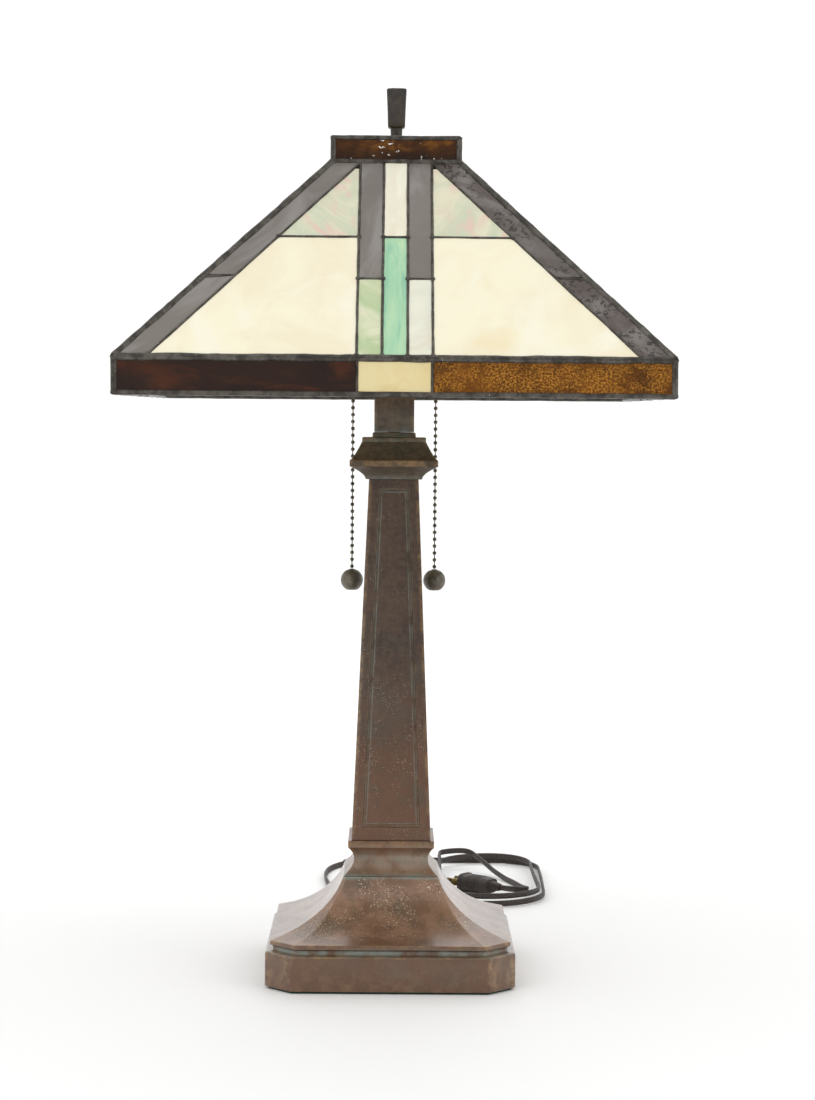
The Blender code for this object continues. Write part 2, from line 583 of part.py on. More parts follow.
def lights():
    """Two pull-chain sockets, each with its bulb."""
    socket_end = SOCKET_STEM + SOCKET_LENGTH
    inner = SOCKET_RADIUS - SOCKET_WALL
    bulb_start = socket_end - BULB_BASE
    floor = bulb_start - 0.003
    globe = bulb_start + BULB_LENGTH - BULB_RADIUS
    for side, name in ((-1, "left"), (1, "right")):
        socket = turned(f"socket_{name}", [
            (0, floor), (inner, floor), (inner, socket_end), (SOCKET_RADIUS, socket_end),
            (SOCKET_RADIUS, SOCKET_STEM + 0.004), (SOCKET_RADIUS - 0.004, SOCKET_STEM),
            (SOCKET_STEM_RADIUS, SOCKET_STEM), (SOCKET_STEM_RADIUS, 0), (0, 0)], BRASS, 20)
        socket.matrix_world = socket_frame(side)
        mouth = (side * CHAIN_X, CHAIN_Y, MOUTH_Z)
        cut(socket, cylinder_cutter(f"mouth_arm_{name}", MOUTH_ARM_RADIUS,
                                    (side * CHAIN_X, inner + SOCKET_WALL / 2, MOUTH_Z),
                                    mouth, 10), "UNION")
        low = MOUTH_Z - MOUTH_HEIGHT / 2
        cut(socket, cylinder_cutter(f"mouth_cup_{name}", MOUTH_RADIUS,
                                    (side * CHAIN_X, CHAIN_Y, low),
                                    (side * CHAIN_X, CHAIN_Y, low + MOUTH_HEIGHT), 12), "UNION")
        cut(socket, cylinder_cutter(f"mouth_bore_{name}", MOUTH_BORE,
                                    (side * CHAIN_X, CHAIN_Y, low - 0.01),
                                    (side * CHAIN_X, CHAIN_Y, low + MOUTH_HEIGHT - 0.002), 12))
        wide = BULB_RADIUS
        shell = [(BULB_BASE_RADIUS, bulb_start), (BULB_BASE_RADIUS, socket_end + 0.002)]
        join = globe - sqrt(wide ** 2 - BULB_BASE_RADIUS ** 2) * 0.92
        shell += [(BULB_BASE_RADIUS + 0.0015, (socket_end + join) / 2)]
        angles = [-48, -30, -12, 6, 24, 42, 60, 76, 90]
        shell += [(wide * cos(radians(a)), globe + wide * sin(radians(a))) for a in angles]
        shell[-1] = (0.0, shell[-1][1])
        lining = [(max(r - BULB_WALL, 0.0), z) for r, z in shell[:-1]]
        lining.append((0.0, shell[-1][1] - BULB_WALL))
        bulb = turned(f"bulb_{name}", shell[::-1] + lining, BULB_WHITE, 16)
        bulb.matrix_world = socket_frame(side)


def pulls():
    """The two pull chains: a sliding link in the mouth, a beaded chain and its ball."""
    link_top = MOUTH_Z + MOUTH_HEIGHT / 2 - 0.002 - 0.0006
    link_low = link_top - LINK_LENGTH
    chain_top = link_low - FIT
    for side, name in ((-1, "left"), (1, "right")):
        x = side * CHAIN_X
        link = turned(f"pull_link_{name}", [(0, 0), (LINK_RADIUS, 0), (LINK_RADIUS, -LINK_LENGTH),
                                            (0, -LINK_LENGTH)], BRASS, 10)
        link.location = (x, CHAIN_Y, link_top)
        profile = [(0, 0)]
        for i in range(BEAD_COUNT):
            middle = -BEAD_RADIUS - i * BEAD_PITCH
            profile += [(BEAD_RADIUS * 0.7, middle + BEAD_RADIUS * 0.7), (BEAD_RADIUS, middle),
                        (BEAD_RADIUS * 0.7, middle - BEAD_RADIUS * 0.7)]
            if i < BEAD_COUNT - 1:
                profile.append((BEAD_WIRE, middle - BEAD_PITCH / 2))
        chain_low = -BEAD_RADIUS * 2 - (BEAD_COUNT - 1) * BEAD_PITCH
        profile.append((0, chain_low))
        chain = turned(f"pull_chain_{name}", profile, BRASS, 6)
        chain.location = (x, CHAIN_Y, chain_top)
        angles = [90, 66, 40, 14, -12, -38, -60]
        ball = [(BALL_RADIUS * cos(radians(a)), BALL_RADIUS * (sin(radians(a)) - 1))
                for a in angles]
        ball[0] = (0, 0)
        ball.append((0, ball[-1][1]))
        weight = turned(f"pull_ball_{name}", ball, DARK_BRONZE, 14)
        weight.location = (x, CHAIN_Y, chain_top + chain_low - FIT)


# ---- shade --------------------------------------------------------------------------------
def panels():
    """Every opening of one side of the shade: tier, name, frame values, outline, finish."""
    hip = HIP_CAME
    line = CAME / 2
    roof = (RIM_HALF, EAVE_Z, CROWN_HALF, CROWN_Z)
    skirt = (RIM_HALF, RIM_Z, RIM_HALF, EAVE_Z)
    crown = (CROWN_HALF, CROWN_Z, CROWN_HALF, CROWN_TOP_Z)
    length = ROOF_LENGTH
    right_field = inset([(BAND_HALF, 0), (RIM_HALF, 0), (CROWN_HALF, length),
                         (BAND_HALF, length)], (CAME, hip, CAME, line))
    left_field = [(-x, y) for x, y in right_field[::-1]]
    band = inset([(-BAND_HALF, 0), (BAND_HALF, 0), (BAND_HALF, length), (-BAND_HALF, length)],
                 (CAME, line, CAME, line))
    low, high = SKIRT_BOTTOM_CAME, SKIRT_TOP_CAME
    right_skirt = inset([(BAND_HALF, 0), (RIM_HALF, 0), (RIM_HALF, SKIRT_HEIGHT),
                         (BAND_HALF, SKIRT_HEIGHT)], (low, hip + CAME / 2, high, line))
    left_skirt = [(-x, y) for x, y in right_skirt[::-1]]
    middle = inset([(-BAND_HALF, 0), (BAND_HALF, 0), (BAND_HALF, SKIRT_HEIGHT),
                    (-BAND_HALF, SKIRT_HEIGHT)], (low, line, high, line))
    square = inset([(-CROWN_HALF, 0), (CROWN_HALF, 0), (CROWN_HALF, CROWN_HEIGHT),
                    (-CROWN_HALF, CROWN_HEIGHT)], (CAME, hip, CAME, hip))
    return [
        ("roof", roof, [("roof_field_{}_left", left_field, CREAM_GLASS),
                        ("roof_band_{}", band, TEAL_GLASS),
                        ("roof_field_{}_right", right_field, CREAM_GLASS)]),
        ("skirt", skirt, [("skirt_pane_{}_left", left_skirt, BROWN_GLASS),
                          ("skirt_pane_{}_centre", middle, CREAM_GLASS),
                          ("skirt_pane_{}_right", right_skirt, AMBER)]),
        ("crown", crown, [("crown_pane_{}", square, DARK_AMBER)]),
    ]


def lead_and_panes():
    """The soldered lead work as one shell with its openings, and a pane in each of them."""
    came = square_turned("lead_came", [(CROWN_HALF, CROWN_TOP_Z), (CROWN_HALF, CROWN_Z),
                                       (RIM_HALF, EAVE_Z), (RIM_HALF, RIM_Z)], LEAD)
    wall = came.modifiers.new("wall", "SOLIDIFY")
    wall.thickness = CAME_DEPTH
    wall.offset = -1.0
    wall.use_even_offset = True
    for tier, sizes, openings in panels():
        for side, turn in SIDES.items():
            outside = face_frame(turn, *sizes)
            outlines = [outline for _, outline, _ in openings]
            cut(came, prism(f"{tier}_opening_{side}", outlines, -CAME_DEPTH - 0.0006, 0.003,
                            outside, collection=CUTTERS))
            middle = face_frame(turn, *sizes, depth=CAME_DEPTH / 2)
            for name, outline, glass in openings:
                fitted = inset(outline, [GLASS_FIT] * len(outline))
                plate(name.format(side), fitted, GLASS, middle, glass)


def shade_top():
    """Cap plate inside the crown, domed washer and finial."""
    cap_half = CROWN_HALF - CAME_DEPTH - FIT
    corners = [(-cap_half, -cap_half), (cap_half, -cap_half), (cap_half, cap_half),
               (-cap_half, cap_half)]
    cap = prism("shade_cap", [corners], CAP_Z, CAP_TOP_Z, Matrix(), BRASS)
    cut(cap, cylinder_cutter("cap_hole", RISER_RADIUS + TURN_FIT, (0, 0, CAP_Z - 0.01),
                             (0, 0, CAP_TOP_Z + 0.01)))
    for k in range(4):
        x = VENT_CIRCLE * cos(pi * k / 2)
        y = VENT_CIRCLE * sin(pi * k / 2)
        cut(cap, cylinder_cutter(f"cap_vent_{k}", VENT_RADIUS, (x, y, CAP_Z - 0.01),
                                 (x, y, CAP_TOP_Z + 0.01), 12))
    hole = RISER_RADIUS + TURN_FIT
    dome = [(hole + (WASHER_RADIUS - hole) * i / 4,
             WASHER_Z + WASHER_RISE * sqrt(1 - (i / 4.3) ** 2)) for i in range(5)]
    turned("cap_washer", [(hole, WASHER_Z)] + dome + [(WASHER_RADIUS, WASHER_Z)], DARK_BRONZE, 20,
           closed=True)

    block_z = FINIAL_Z + FINIAL_NECK
    crest = FINIAL_TOP_Z - 0.0022
    finial = square_turned("finial", [
        (0, FINIAL_TOP_Z), (FINIAL_TOP_HALF * 0.55, FINIAL_TOP_Z - 0.0004),
        (FINIAL_TOP_HALF * 0.9, FINIAL_TOP_Z - 0.0013), (FINIAL_TOP_HALF, crest),
        (FINIAL_LOW_HALF, block_z + 0.001), (FINIAL_LOW_HALF - 0.001, block_z), (0, block_z)],
        DARK_BRONZE)
    cut(finial, cylinder_cutter("finial_neck", FINIAL_NECK_RADIUS, (0, 0, FINIAL_Z),
                                (0, 0, block_z + 0.004), 20), "UNION")
    cut(finial, cylinder_cutter("finial_bore", RISER_RADIUS + FIT, (0, 0, FINIAL_Z - 0.005),
                                (0, 0, FINIAL_Z + 0.0115), 12))


# ---- cord ---------------------------------------------------------------------------------
def hank_outline(grow):
    """The hank seen from above: two round ends joined by straight runs, moved out by grow."""
    radius = HANK_HALF_X + grow
    far = HANK_HALF_Y - HANK_HALF_X
    return (arc((HANK_X, HANK_Y + far), radius, 0, 180, 12)
            + arc((HANK_X, HANK_Y - far), radius, 180, 360, 12))


def cord():
    """Bushing in the plinth, the free cord and its hank."""
    bore = CORD_RADIUS + FIT
    back = PLINTH_HALF + FIT
    wall = PLINTH_HALF - BASE_WALL
    bushing = turned("cord_bushing", [
        (bore, -SLEEVE), (bore, back - wall), (BUSHING_RADIUS, back - wall), (BUSHING_RADIUS, 0),
        (BUSHING_FLANGE, 0), (BUSHING_FLANGE, -BUSHING_FLANGE_THICK),
        (BUSHING_RADIUS + 0.0006, -BUSHING_FLANGE_THICK - 0.0006),
        (SLEEVE_END_RADIUS, -SLEEVE)], CORD_BROWN, 16, closed=True)
    bushing.location = (0, back, CORD_Z)
    bushing.rotation_euler.x = pi / 2
    round_bar("power_cord", smooth_path(CORD_ROUTE, 0.012), CORD_RADIUS, CORD_BROWN)

    ring = bpy.data.curves.new("cord_hank", "CURVE")
    ring.dimensions = "2D"
    ring.fill_mode = "BOTH"
    ring.extrude = HANK_HEIGHT / 2
    for outline in (hank_outline(0.0), hank_outline(-HANK_BAND)):
        spline = ring.splines.new("POLY")
        spline.points.add(len(outline) - 1)
        for point, (x, y) in zip(spline.points, outline):
            point.co = (x, y, 0.0, 1.0)
        spline.use_cyclic_u = True
    place("cord_hank", ring, CORD_BROWN).location.z = HANK_HEIGHT / 2


def plug():
    """The moulded plug lying inside the hank, its short relief towards the cord, two blades."""
    middle = PLUG_HEIGHT / 2 + FIT
    lying = Matrix.Translation((PLUG_X, PLUG_Y, middle)) @ Matrix.Rotation(PLUG_TURN, 4, "Z")
    half_w, half_h = PLUG_WIDTH / 2, PLUG_HEIGHT / 2
    corner = 0.004
    quarter = [(half_h, half_w - corner), (half_h - corner, half_w)]
    section = (quarter + [(-x, y) for x, y in quarter[::-1]]
               + [(-x, -y) for x, y in quarter] + [(x, -y) for x, y in quarter[::-1]])
    body = prism("plug_body", [section], 0.0, PLUG_LENGTH, lying @ Matrix.Rotation(pi / 2, 4, "Y"),
                 CORD_BROWN)
    cut(body, cylinder_cutter("plug_relief", PLUG_RELIEF_RADIUS,
                              lying @ Vector((PLUG_LENGTH * 0.7, 0, 0)),
                              lying @ Vector((PLUG_LENGTH + PLUG_RELIEF, 0, 0)), 12), "UNION")
    tip = 0.0015
    half_l, half_b = BLADE_LENGTH / 2, BLADE_WIDTH / 2
    seat_y, seat_z = BLADE_THICK / 2 + FIT, half_b + FIT
    side_view = [(half_l, -half_b), (half_l, half_b), (tip - half_l, half_b),
                 (-half_l, half_b - tip), (-half_l, tip - half_b), (tip - half_l, -half_b)]
    for side, name in ((-1, "near"), (1, "far")):
        y = side * BLADE_SPACING / 2
        centre = Matrix.Translation((BLADE_ROOT - FIT - half_l, y, 0))
        plate(f"plug_blade_{name}", side_view, BLADE_THICK,
              lying @ centre @ Matrix.Rotation(pi / 2, 4, "X"), BRASS)
        seat = [(-0.001, y - seat_y), (BLADE_ROOT, y - seat_y), (BLADE_ROOT, y + seat_y),
                (-0.001, y + seat_y)]
        cut(body, prism(f"blade_seat_{name}", [seat], -seat_z, seat_z, lying,
                        collection=CUTTERS))


base_casting()
base_fill()
column_pieces()
pipes()
cluster()
lights()
pulls()
lead_and_panes()
shade_top()
cord()
plug()
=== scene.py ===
"""Stained glass table lamp: a square leaded shade on a tapered bronze column.

Metres, +Z up, the front facing -Y. Each visible piece is a surface worked out with numpy round the
lamp's solid frame: square castings are rounded squares carried up a profile, panes are patches
between four corners, and lead lines are flattened beads along their seams.
"""
from math import cos, pi, radians, sin, tan

import bpy
import numpy as np
from mathutils import Matrix, Vector


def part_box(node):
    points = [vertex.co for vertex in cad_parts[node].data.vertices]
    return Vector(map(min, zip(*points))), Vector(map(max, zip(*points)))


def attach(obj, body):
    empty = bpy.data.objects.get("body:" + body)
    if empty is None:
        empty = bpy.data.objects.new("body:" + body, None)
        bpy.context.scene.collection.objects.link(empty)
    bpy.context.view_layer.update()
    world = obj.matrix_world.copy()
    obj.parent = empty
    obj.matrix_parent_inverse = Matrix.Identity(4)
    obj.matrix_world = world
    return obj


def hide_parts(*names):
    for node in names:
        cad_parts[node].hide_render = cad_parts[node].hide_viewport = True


bl_info = {
    "name": "Stained Glass Table Lamp",
    "version": (1, 0, 0),
    "blender": (4, 5, 0),
    "location": "View3D > Sidebar > Lamp",
    "description": "Builds a leaded glass table lamp round its solid frame",
    "category": "Object",
}

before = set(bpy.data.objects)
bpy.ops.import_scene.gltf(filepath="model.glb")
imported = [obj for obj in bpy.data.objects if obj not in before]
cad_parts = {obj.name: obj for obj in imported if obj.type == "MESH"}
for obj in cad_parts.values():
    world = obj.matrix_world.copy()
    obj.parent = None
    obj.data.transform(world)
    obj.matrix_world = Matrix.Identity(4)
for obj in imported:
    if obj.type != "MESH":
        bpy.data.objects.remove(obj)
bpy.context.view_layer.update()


def low(node):
    """Lower corner of a solid node's box."""
    return np.array(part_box(node)[0])


def high(node):
    """Upper corner of a solid node's box."""
    return np.array(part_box(node)[1])


def span(node):
    """Lowest and highest height of a solid node about the axis, and its half width."""
    return low(node)[2], high(node)[2], high(node)[0]


# ---- sizes that come from the solid frame ---------------------------------------------------
RIM_HALF = high("lead_came")[0]
RIM_Z = low("lead_came")[2]
CROWN_TOP_Z = high("lead_came")[2]
SKIRT_TOP_CAME = 0.0054         # from the top of a skirt pane to the eave
CROWN_LOW_CAME = 0.0034         # from the foot of a crown pane to the top of the roof
EAVE_Z = high("skirt_pane_front_centre")[2] + SKIRT_TOP_CAME
CROWN_Z = low("crown_pane_front")[2] - CROWN_LOW_CAME
CROWN_PANE_INSET = 0.001        # from the face of a crown pane to the outside of the crown
CROWN_HALF = high("crown_pane_right")[0] + CROWN_PANE_INSET
ROOF_LENGTH = float(np.hypot(RIM_HALF - CROWN_HALF, CROWN_Z - EAVE_Z))
SHELL_MIDDLE = 0.0025           # depth of the middle of the glass below the outside of the shade
SIDES = {"front": 0, "right": 1, "back": 2, "left": 3}


# ---- surfaces -------------------------------------------------------------------------------
def part(points, wrap=False, ends=False, **marks):
    """A surface on a grid of two parameters: quads between neighbouring rows and columns.

    wrap joins the last column to the first, ends closes the first and the last row, and marks
    are values kept at each point for the materials.
    """
    rows, cols = points.shape[:2]
    index = np.arange(rows * cols).reshape(rows, cols)
    right = np.roll(index, -1, 1) if wrap else index[:, 1:]
    left = index if wrap else index[:, :-1]
    faces = [np.stack([left[:-1], right[:-1], right[1:], left[1:]], -1).reshape(-1, 4)]
    if ends:
        faces += [index[:1, ::-1], index[-1:]]
    return {"points": points.reshape(-1, 3), "faces": faces, "material": 0,
            "uv": np.zeros((rows * cols, 2)),
            "marks": {k: np.broadcast_to(v, (rows, cols)).reshape(-1) for k, v in marks.items()}}


def build(name, parts, materials, body, nodes=(), sharp=40.0, marks=()):
    """Join surfaces into one piece that rides on a body and stands for its solid nodes."""
    points = np.concatenate([p["points"] for p in parts])
    starts = np.cumsum([0] + [len(p["points"]) for p in parts[:-1]])
    corners, counts, slots = [], [], []
    for p, start in zip(parts, starts):
        for faces in p["faces"]:
            corners.append((faces + start).ravel())
            counts.append(np.full(len(faces), faces.shape[1]))
            slots.append(np.full(len(faces), p["material"]))
    corners, counts = np.concatenate(corners).astype(np.int32), np.concatenate(counts)
    mesh = bpy.data.meshes.new(name)
    mesh.vertices.add(len(points))
    mesh.vertices.foreach_set("co", points.astype(np.float32).ravel())
    mesh.loops.add(len(corners))
    mesh.loops.foreach_set("vertex_index", corners)
    mesh.polygons.add(len(counts))
    mesh.polygons.foreach_set("loop_start", (np.cumsum(counts) - counts).astype(np.int32))
    mesh.polygons.foreach_set("material_index", np.concatenate(slots).astype(np.int32))
    mesh.polygons.foreach_set("use_smooth", np.ones(len(counts), bool))
    mesh.update(calc_edges=True)
    flow = mesh.uv_layers.new(name="flow")
    uv = np.concatenate([p["uv"] for p in parts])
    flow.data.foreach_set("uv", uv[corners].astype(np.float32).ravel())
    for mark in marks:
        values = np.concatenate([p["marks"].get(mark, np.zeros(len(p["points"])))
                                 for p in parts])
        mesh.attributes.new(mark, "FLOAT", "POINT").data.foreach_set(
            "value", values.astype(np.float32))
    mesh.set_sharp_from_angle(angle=radians(sharp))
    for material in materials:
        mesh.materials.append(material)
    piece = bpy.data.objects.new(name, mesh)
    bpy.context.scene.collection.objects.link(piece)
    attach(piece, body)
    if nodes:
        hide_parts(*nodes)
    return piece


def quarter_turns(points):
    """A quarter of an outline, turned three times to make the whole, anticlockwise."""
    x, y = points[..., 0], points[..., 1]
    turns = [np.stack([x * c - y * s, x * s + y * c], -1)
             for c, s in ((1, 0), (0, 1), (-1, 0), (0, -1))]
    return np.concatenate(turns, axis=1)


NEAR_CORNER = 0.0016            # how far a corner's rub reaches into the flat beside it


def square_ring(half, radius, steps=4):
    """Rounded squares, one a row: each corner is a quarter circle between two flat points."""
    half, radius = np.atleast_1d(half)[:, None], np.atleast_1d(radius)[:, None]
    turn = np.linspace(0, pi / 2, steps + 1)[None]
    inner = half - radius
    near = inner - np.minimum(NEAR_CORNER, inner * 0.5)
    return quarter_turns(np.stack([
        np.concatenate([half, inner + radius * np.cos(turn), near], 1),
        np.concatenate([near, inner + radius * np.sin(turn), half], 1)], -1))


def square_corners(steps=4):
    """1 on the corner columns of square_ring and 0 on its flat ones."""
    return np.tile(np.concatenate([[0], np.ones(steps + 1), [0]]), 4)


def clipped_ring(half, clip, radius, steps=3):
    """Squares with their corners clipped off, each blunt corner rounded to a radius."""
    half, clip = half[:, None], clip[:, None]
    radius = np.minimum(radius, clip * 1.6)
    turn = np.linspace(0, pi / 4, steps + 1)[None]
    reach = radius * tan(pi / 8)            # from a blunt corner to where its arc starts
    foot = half - clip - reach
    first = np.stack([np.concatenate([half, half - radius + radius * np.cos(turn)], 1),
                      np.concatenate([foot - NEAR_CORNER, foot + radius * np.sin(turn)], 1)], -1)
    second = first[:, ::-1, ::-1]
    middle = (first[:, -1:] + second[:, :1]) / 2
    return quarter_turns(np.concatenate([first, middle, second], axis=1))


def clipped_corners(steps=3):
    """1 on the blunt corner columns of clipped_ring and 0 on its flat ones."""
    arc = np.ones(steps + 1)
    return np.tile(np.concatenate([[0], arc, [0], arc, [0]]), 4)


def round_ring(radius, sides):
    """Circles, one a row."""
    turn = np.arange(sides) * 2 * pi / sides
    radius = np.atleast_1d(radius)[:, None]
    return np.stack([radius * np.cos(turn), radius * np.sin(turn)], -1)


def eased(profile, reach=0.0008, steps=3):
    """A profile with each corner replaced by a parabola that starts and ends reach from it."""
    profile = np.array(profile, float)
    before, corner, after = profile[:-2], profile[1:-1], profile[2:]

    def towards(other):
        gap = other - corner
        length = np.linalg.norm(gap[:, :2], axis=1, keepdims=True) + 1e-9
        return corner + gap * np.minimum(reach / length, 0.45)

    start, end = towards(before), towards(after)
    t = np.linspace(0, 1, steps + 1)[None, :, None]
    curves = (start[:, None] * (1 - t) ** 2 + corner[:, None] * 2 * t * (1 - t)
              + end[:, None] * t ** 2)
    return np.vstack([profile[:1], curves.reshape(-1, profile.shape[1]), profile[-1:]])


def bell(x, at, width):
    """1 where x is at a value, falling to 0 on both sides as a bell curve does."""
    return np.exp(-((x - at) / width) ** 2)


def raised(ring, z):
    """Put each row of a flat outline at its own height."""
    z = np.broadcast_to(np.asarray(z)[:, None], ring.shape[:2])
    return np.dstack([ring, z])


def turned(profile, sides, reach, centre=(0, 0, 0)):
    """A profile of (radius, height) rows, eased at its corners, turned round Z."""
    rows = eased(profile, reach)
    points = raised(round_ring(rows[:, 0], sides), rows[:, 1]) + np.array(centre)
    return part(points, wrap=True, ends=True)


def carried(piece, matrix):
    """A surface moved and turned by a matrix."""
    matrix = np.array(matrix)
    return {**piece, "points": piece["points"] @ matrix[:3, :3].T + matrix[:3, 3]}


def waves(points, size, seed):
    """Smooth unevenness between about -1 and 1: a sum of sines along seeded directions."""
    draw = np.random.default_rng(seed)
    total = np.zeros(points.shape[:-1])
    for octave in range(3):
        for _ in range(3):
            direction = draw.normal(size=3)
            direction *= 2 * pi / size * 1.9 ** octave / np.linalg.norm(direction)
            total = total + np.sin(points @ direction + draw.uniform(0, 2 * pi)) / 1.7 ** octave
    return total / 4.5


SEAM_SIDES, SEAM_STEP, PANE_STEP = 10, 0.0035, 0.006


def bead(start, end, out, wide, deep, seed, rough):
    """A soldered seam: an ellipse carried along a line, its width and depth gently uneven."""
    start, end, out = (np.asarray(v, float) for v in (start, end, out))
    length = np.linalg.norm(end - start)
    along = (end - start) / length
    side = np.cross(out, along)
    side /= np.linalg.norm(side)
    out = np.cross(along, side)
    t = np.linspace(0, 1, max(3, int(length / SEAM_STEP)) + 1)[:, None, None]
    centre = start + (end - start) * t
    turn = (np.arange(SEAM_SIDES) * 2 * pi / SEAM_SIDES)[None, :, None]
    swell = 1 + rough * waves(centre, 0.022, seed)[..., None]
    drift = side * wide * 0.06 * waves(centre, 0.05, seed + 50)[..., None]
    points = (centre + drift + side * (wide / 2 * swell) * np.cos(turn)
              + out * (deep / 2 * (1 + (swell - 1) * 0.8)) * np.sin(turn))
    points += (waves(points, 0.009, seed + 9)[..., None] * 0.00012) * out
    return part(points, wrap=True, ends=True)


def lump(centre, out, wide, tall, seed):
    """A blob of solder: a flattened ball of a few dozen faces."""
    turn = np.arange(10) * 2 * pi / 10
    rise = radians(90) * np.array([-0.97, -0.6, -0.2, 0.2, 0.6, 0.97])[:, None]
    out = np.asarray(out, float) / np.linalg.norm(out)
    side = np.cross(out, (0.3, 0.2, 0.9))
    side /= np.linalg.norm(side)
    other = np.cross(out, side)
    shape = (np.cos(rise) * np.cos(turn), np.cos(rise) * np.sin(turn),
             np.sin(rise) * np.ones_like(turn))
    points = (np.asarray(centre) + side * (shape[0] * wide / 2)[..., None]
              + other * (shape[1] * wide / 2)[..., None] + out * (shape[2] * tall / 2)[..., None])
    points += waves(points, 0.006, seed)[..., None] * out * 0.0002
    return part(points, wrap=True, ends=True)


# ---- materials ------------------------------------------------------------------------------
MIX_SHARE, MIX_A, MIX_B, MIX_COLOUR = 0, 6, 7, 2    # a mix node's sockets that hold colours


class Finish:
    """A material and its node tree, with short ways to add and join nodes."""

    def __init__(self, name, roughness=0.4, metallic=0.0, ior=1.5, coat=0.0, coat_rough=0.1):
        self.material = bpy.data.materials.new(name)
        self.material.use_nodes = True
        self.tree = self.material.node_tree
        self.shader = self.tree.nodes["Principled BSDF"]
        self.shader.inputs["Roughness"].default_value = roughness
        self.shader.inputs["Metallic"].default_value = metallic
        self.shader.inputs["IOR"].default_value = ior
        self.shader.inputs["Coat Weight"].default_value = coat
        self.shader.inputs["Coat Roughness"].default_value = coat_rough
        self.place = self.node("ShaderNodeTexCoord").outputs["Object"]

    def node(self, kind, values=(), **settings):
        """Add a node; values are (input, number or socket) pairs, settings its properties."""
        node = self.tree.nodes.new(kind)
        for key, value in settings.items():
            setattr(node, key, value)
        for key, value in values:
            if isinstance(value, bpy.types.NodeSocket):
                self.tree.links.new(value, node.inputs[key])
            else:
                node.inputs[key].default_value = value
        return node

    def flow(self):
        """Use the piece's own map instead of its place in space."""
        self.place = self.node("ShaderNodeUVMap", uv_map="flow").outputs["UV"]

    def stretched(self, scale, shift=(0, 0, 0), turn=0.0):
        """The place, turned, scaled and moved."""
        return self.node("ShaderNodeMapping", [("Vector", self.place), ("Scale", scale),
                         ("Location", shift), ("Rotation", (0, 0, turn))]).outputs["Vector"]

    def noise(self, scale, detail=4.0, roughness=0.55, distortion=0.0, vector=None):
        """Cloudy noise about 0.5."""
        return self.node("ShaderNodeTexNoise", [
            ("Vector", vector or self.place), ("Scale", scale), ("Detail", detail),
            ("Roughness", roughness), ("Distortion", distortion)]).outputs["Fac"]

    def cells(self, scale):
        """Distance to the nearest of many scattered points."""
        return self.node("ShaderNodeTexVoronoi", [
            ("Vector", self.place), ("Scale", scale)]).outputs["Distance"]

    def between(self, value, start, end, out_low=0.0, out_high=1.0):
        """Map a range of a value to another along an S curve, held at both ends."""
        return self.node("ShaderNodeMapRange", [
            ("Value", value), ("From Min", start), ("From Max", end), ("To Min", out_low),
            ("To Max", out_high)], interpolation_type="SMOOTHSTEP").outputs["Result"]

    def plus(self, a, b):
        return self.node("ShaderNodeMath", [(0, a), (1, b)], operation="ADD").outputs[0]

    def minus(self, a, b):
        return self.node("ShaderNodeMath", [(0, a), (1, b)], operation="SUBTRACT").outputs[0]

    def times(self, a, b):
        return self.node("ShaderNodeMath", [(0, a), (1, b)], operation="MULTIPLY").outputs[0]

    def mixed(self, share, a, b):
        """Colour a with a share of colour b; either is a socket or three numbers."""
        def full(colour):
            return colour if isinstance(colour, bpy.types.NodeSocket) else (*colour, 1.0)
        return self.node("ShaderNodeMix", [(MIX_SHARE, share), (MIX_A, full(a)),
                                           (MIX_B, full(b))],
                         data_type="RGBA").outputs[MIX_COLOUR]

    def mark(self, name):
        """Values kept at the points of a piece."""
        return self.node("ShaderNodeAttribute", attribute_name=name).outputs["Fac"]

    def axis(self, letter):
        """One part of the place."""
        return self.node("ShaderNodeSeparateXYZ", [("Vector", self.place)]).outputs[letter]

    def end(self, colour, roughness=None, bump=None, strength=0.3, distance=0.0003):
        """Join colour, roughness and bump to the shader."""
        if isinstance(colour, bpy.types.NodeSocket):
            self.tree.links.new(colour, self.shader.inputs["Base Color"])
        else:
            self.shader.inputs["Base Color"].default_value = (*colour, 1.0)
        if roughness is not None:
            self.tree.links.new(roughness, self.shader.inputs["Roughness"])
        if bump is not None:
            node = self.node("ShaderNodeBump", [("Strength", strength), ("Distance", distance),
                                                ("Height", bump)])
            self.tree.links.new(node.outputs["Normal"], self.shader.inputs["Normal"])
        return self.material


OLIVE, PIT_BROWN, VERDIGRIS = (0.062, 0.050, 0.033), (0.018, 0.013, 0.010), (0.215, 0.265, 0.225)
RUBBED_GOLD, PALE_FLECK = (0.340, 0.200, 0.085), (0.66, 0.58, 0.46)
FOOT_RED, FLARE_PAINTED_LIGHT = (0.145, 0.060, 0.022), (0.285, 0.160, 0.098)
RED_BELOW, RED_WHOLE = 0.34, 0.16       # heights between which the column turns red-brown
PAINTED_LIGHT_TOP, PAINTED_LIGHT_FOOT = (0.112, 0.096), (0.032, 0.044)    # the flare fades in and out of painted light
CASTING_ROUGH, COAT_ROUGH = 0.42, 0.22


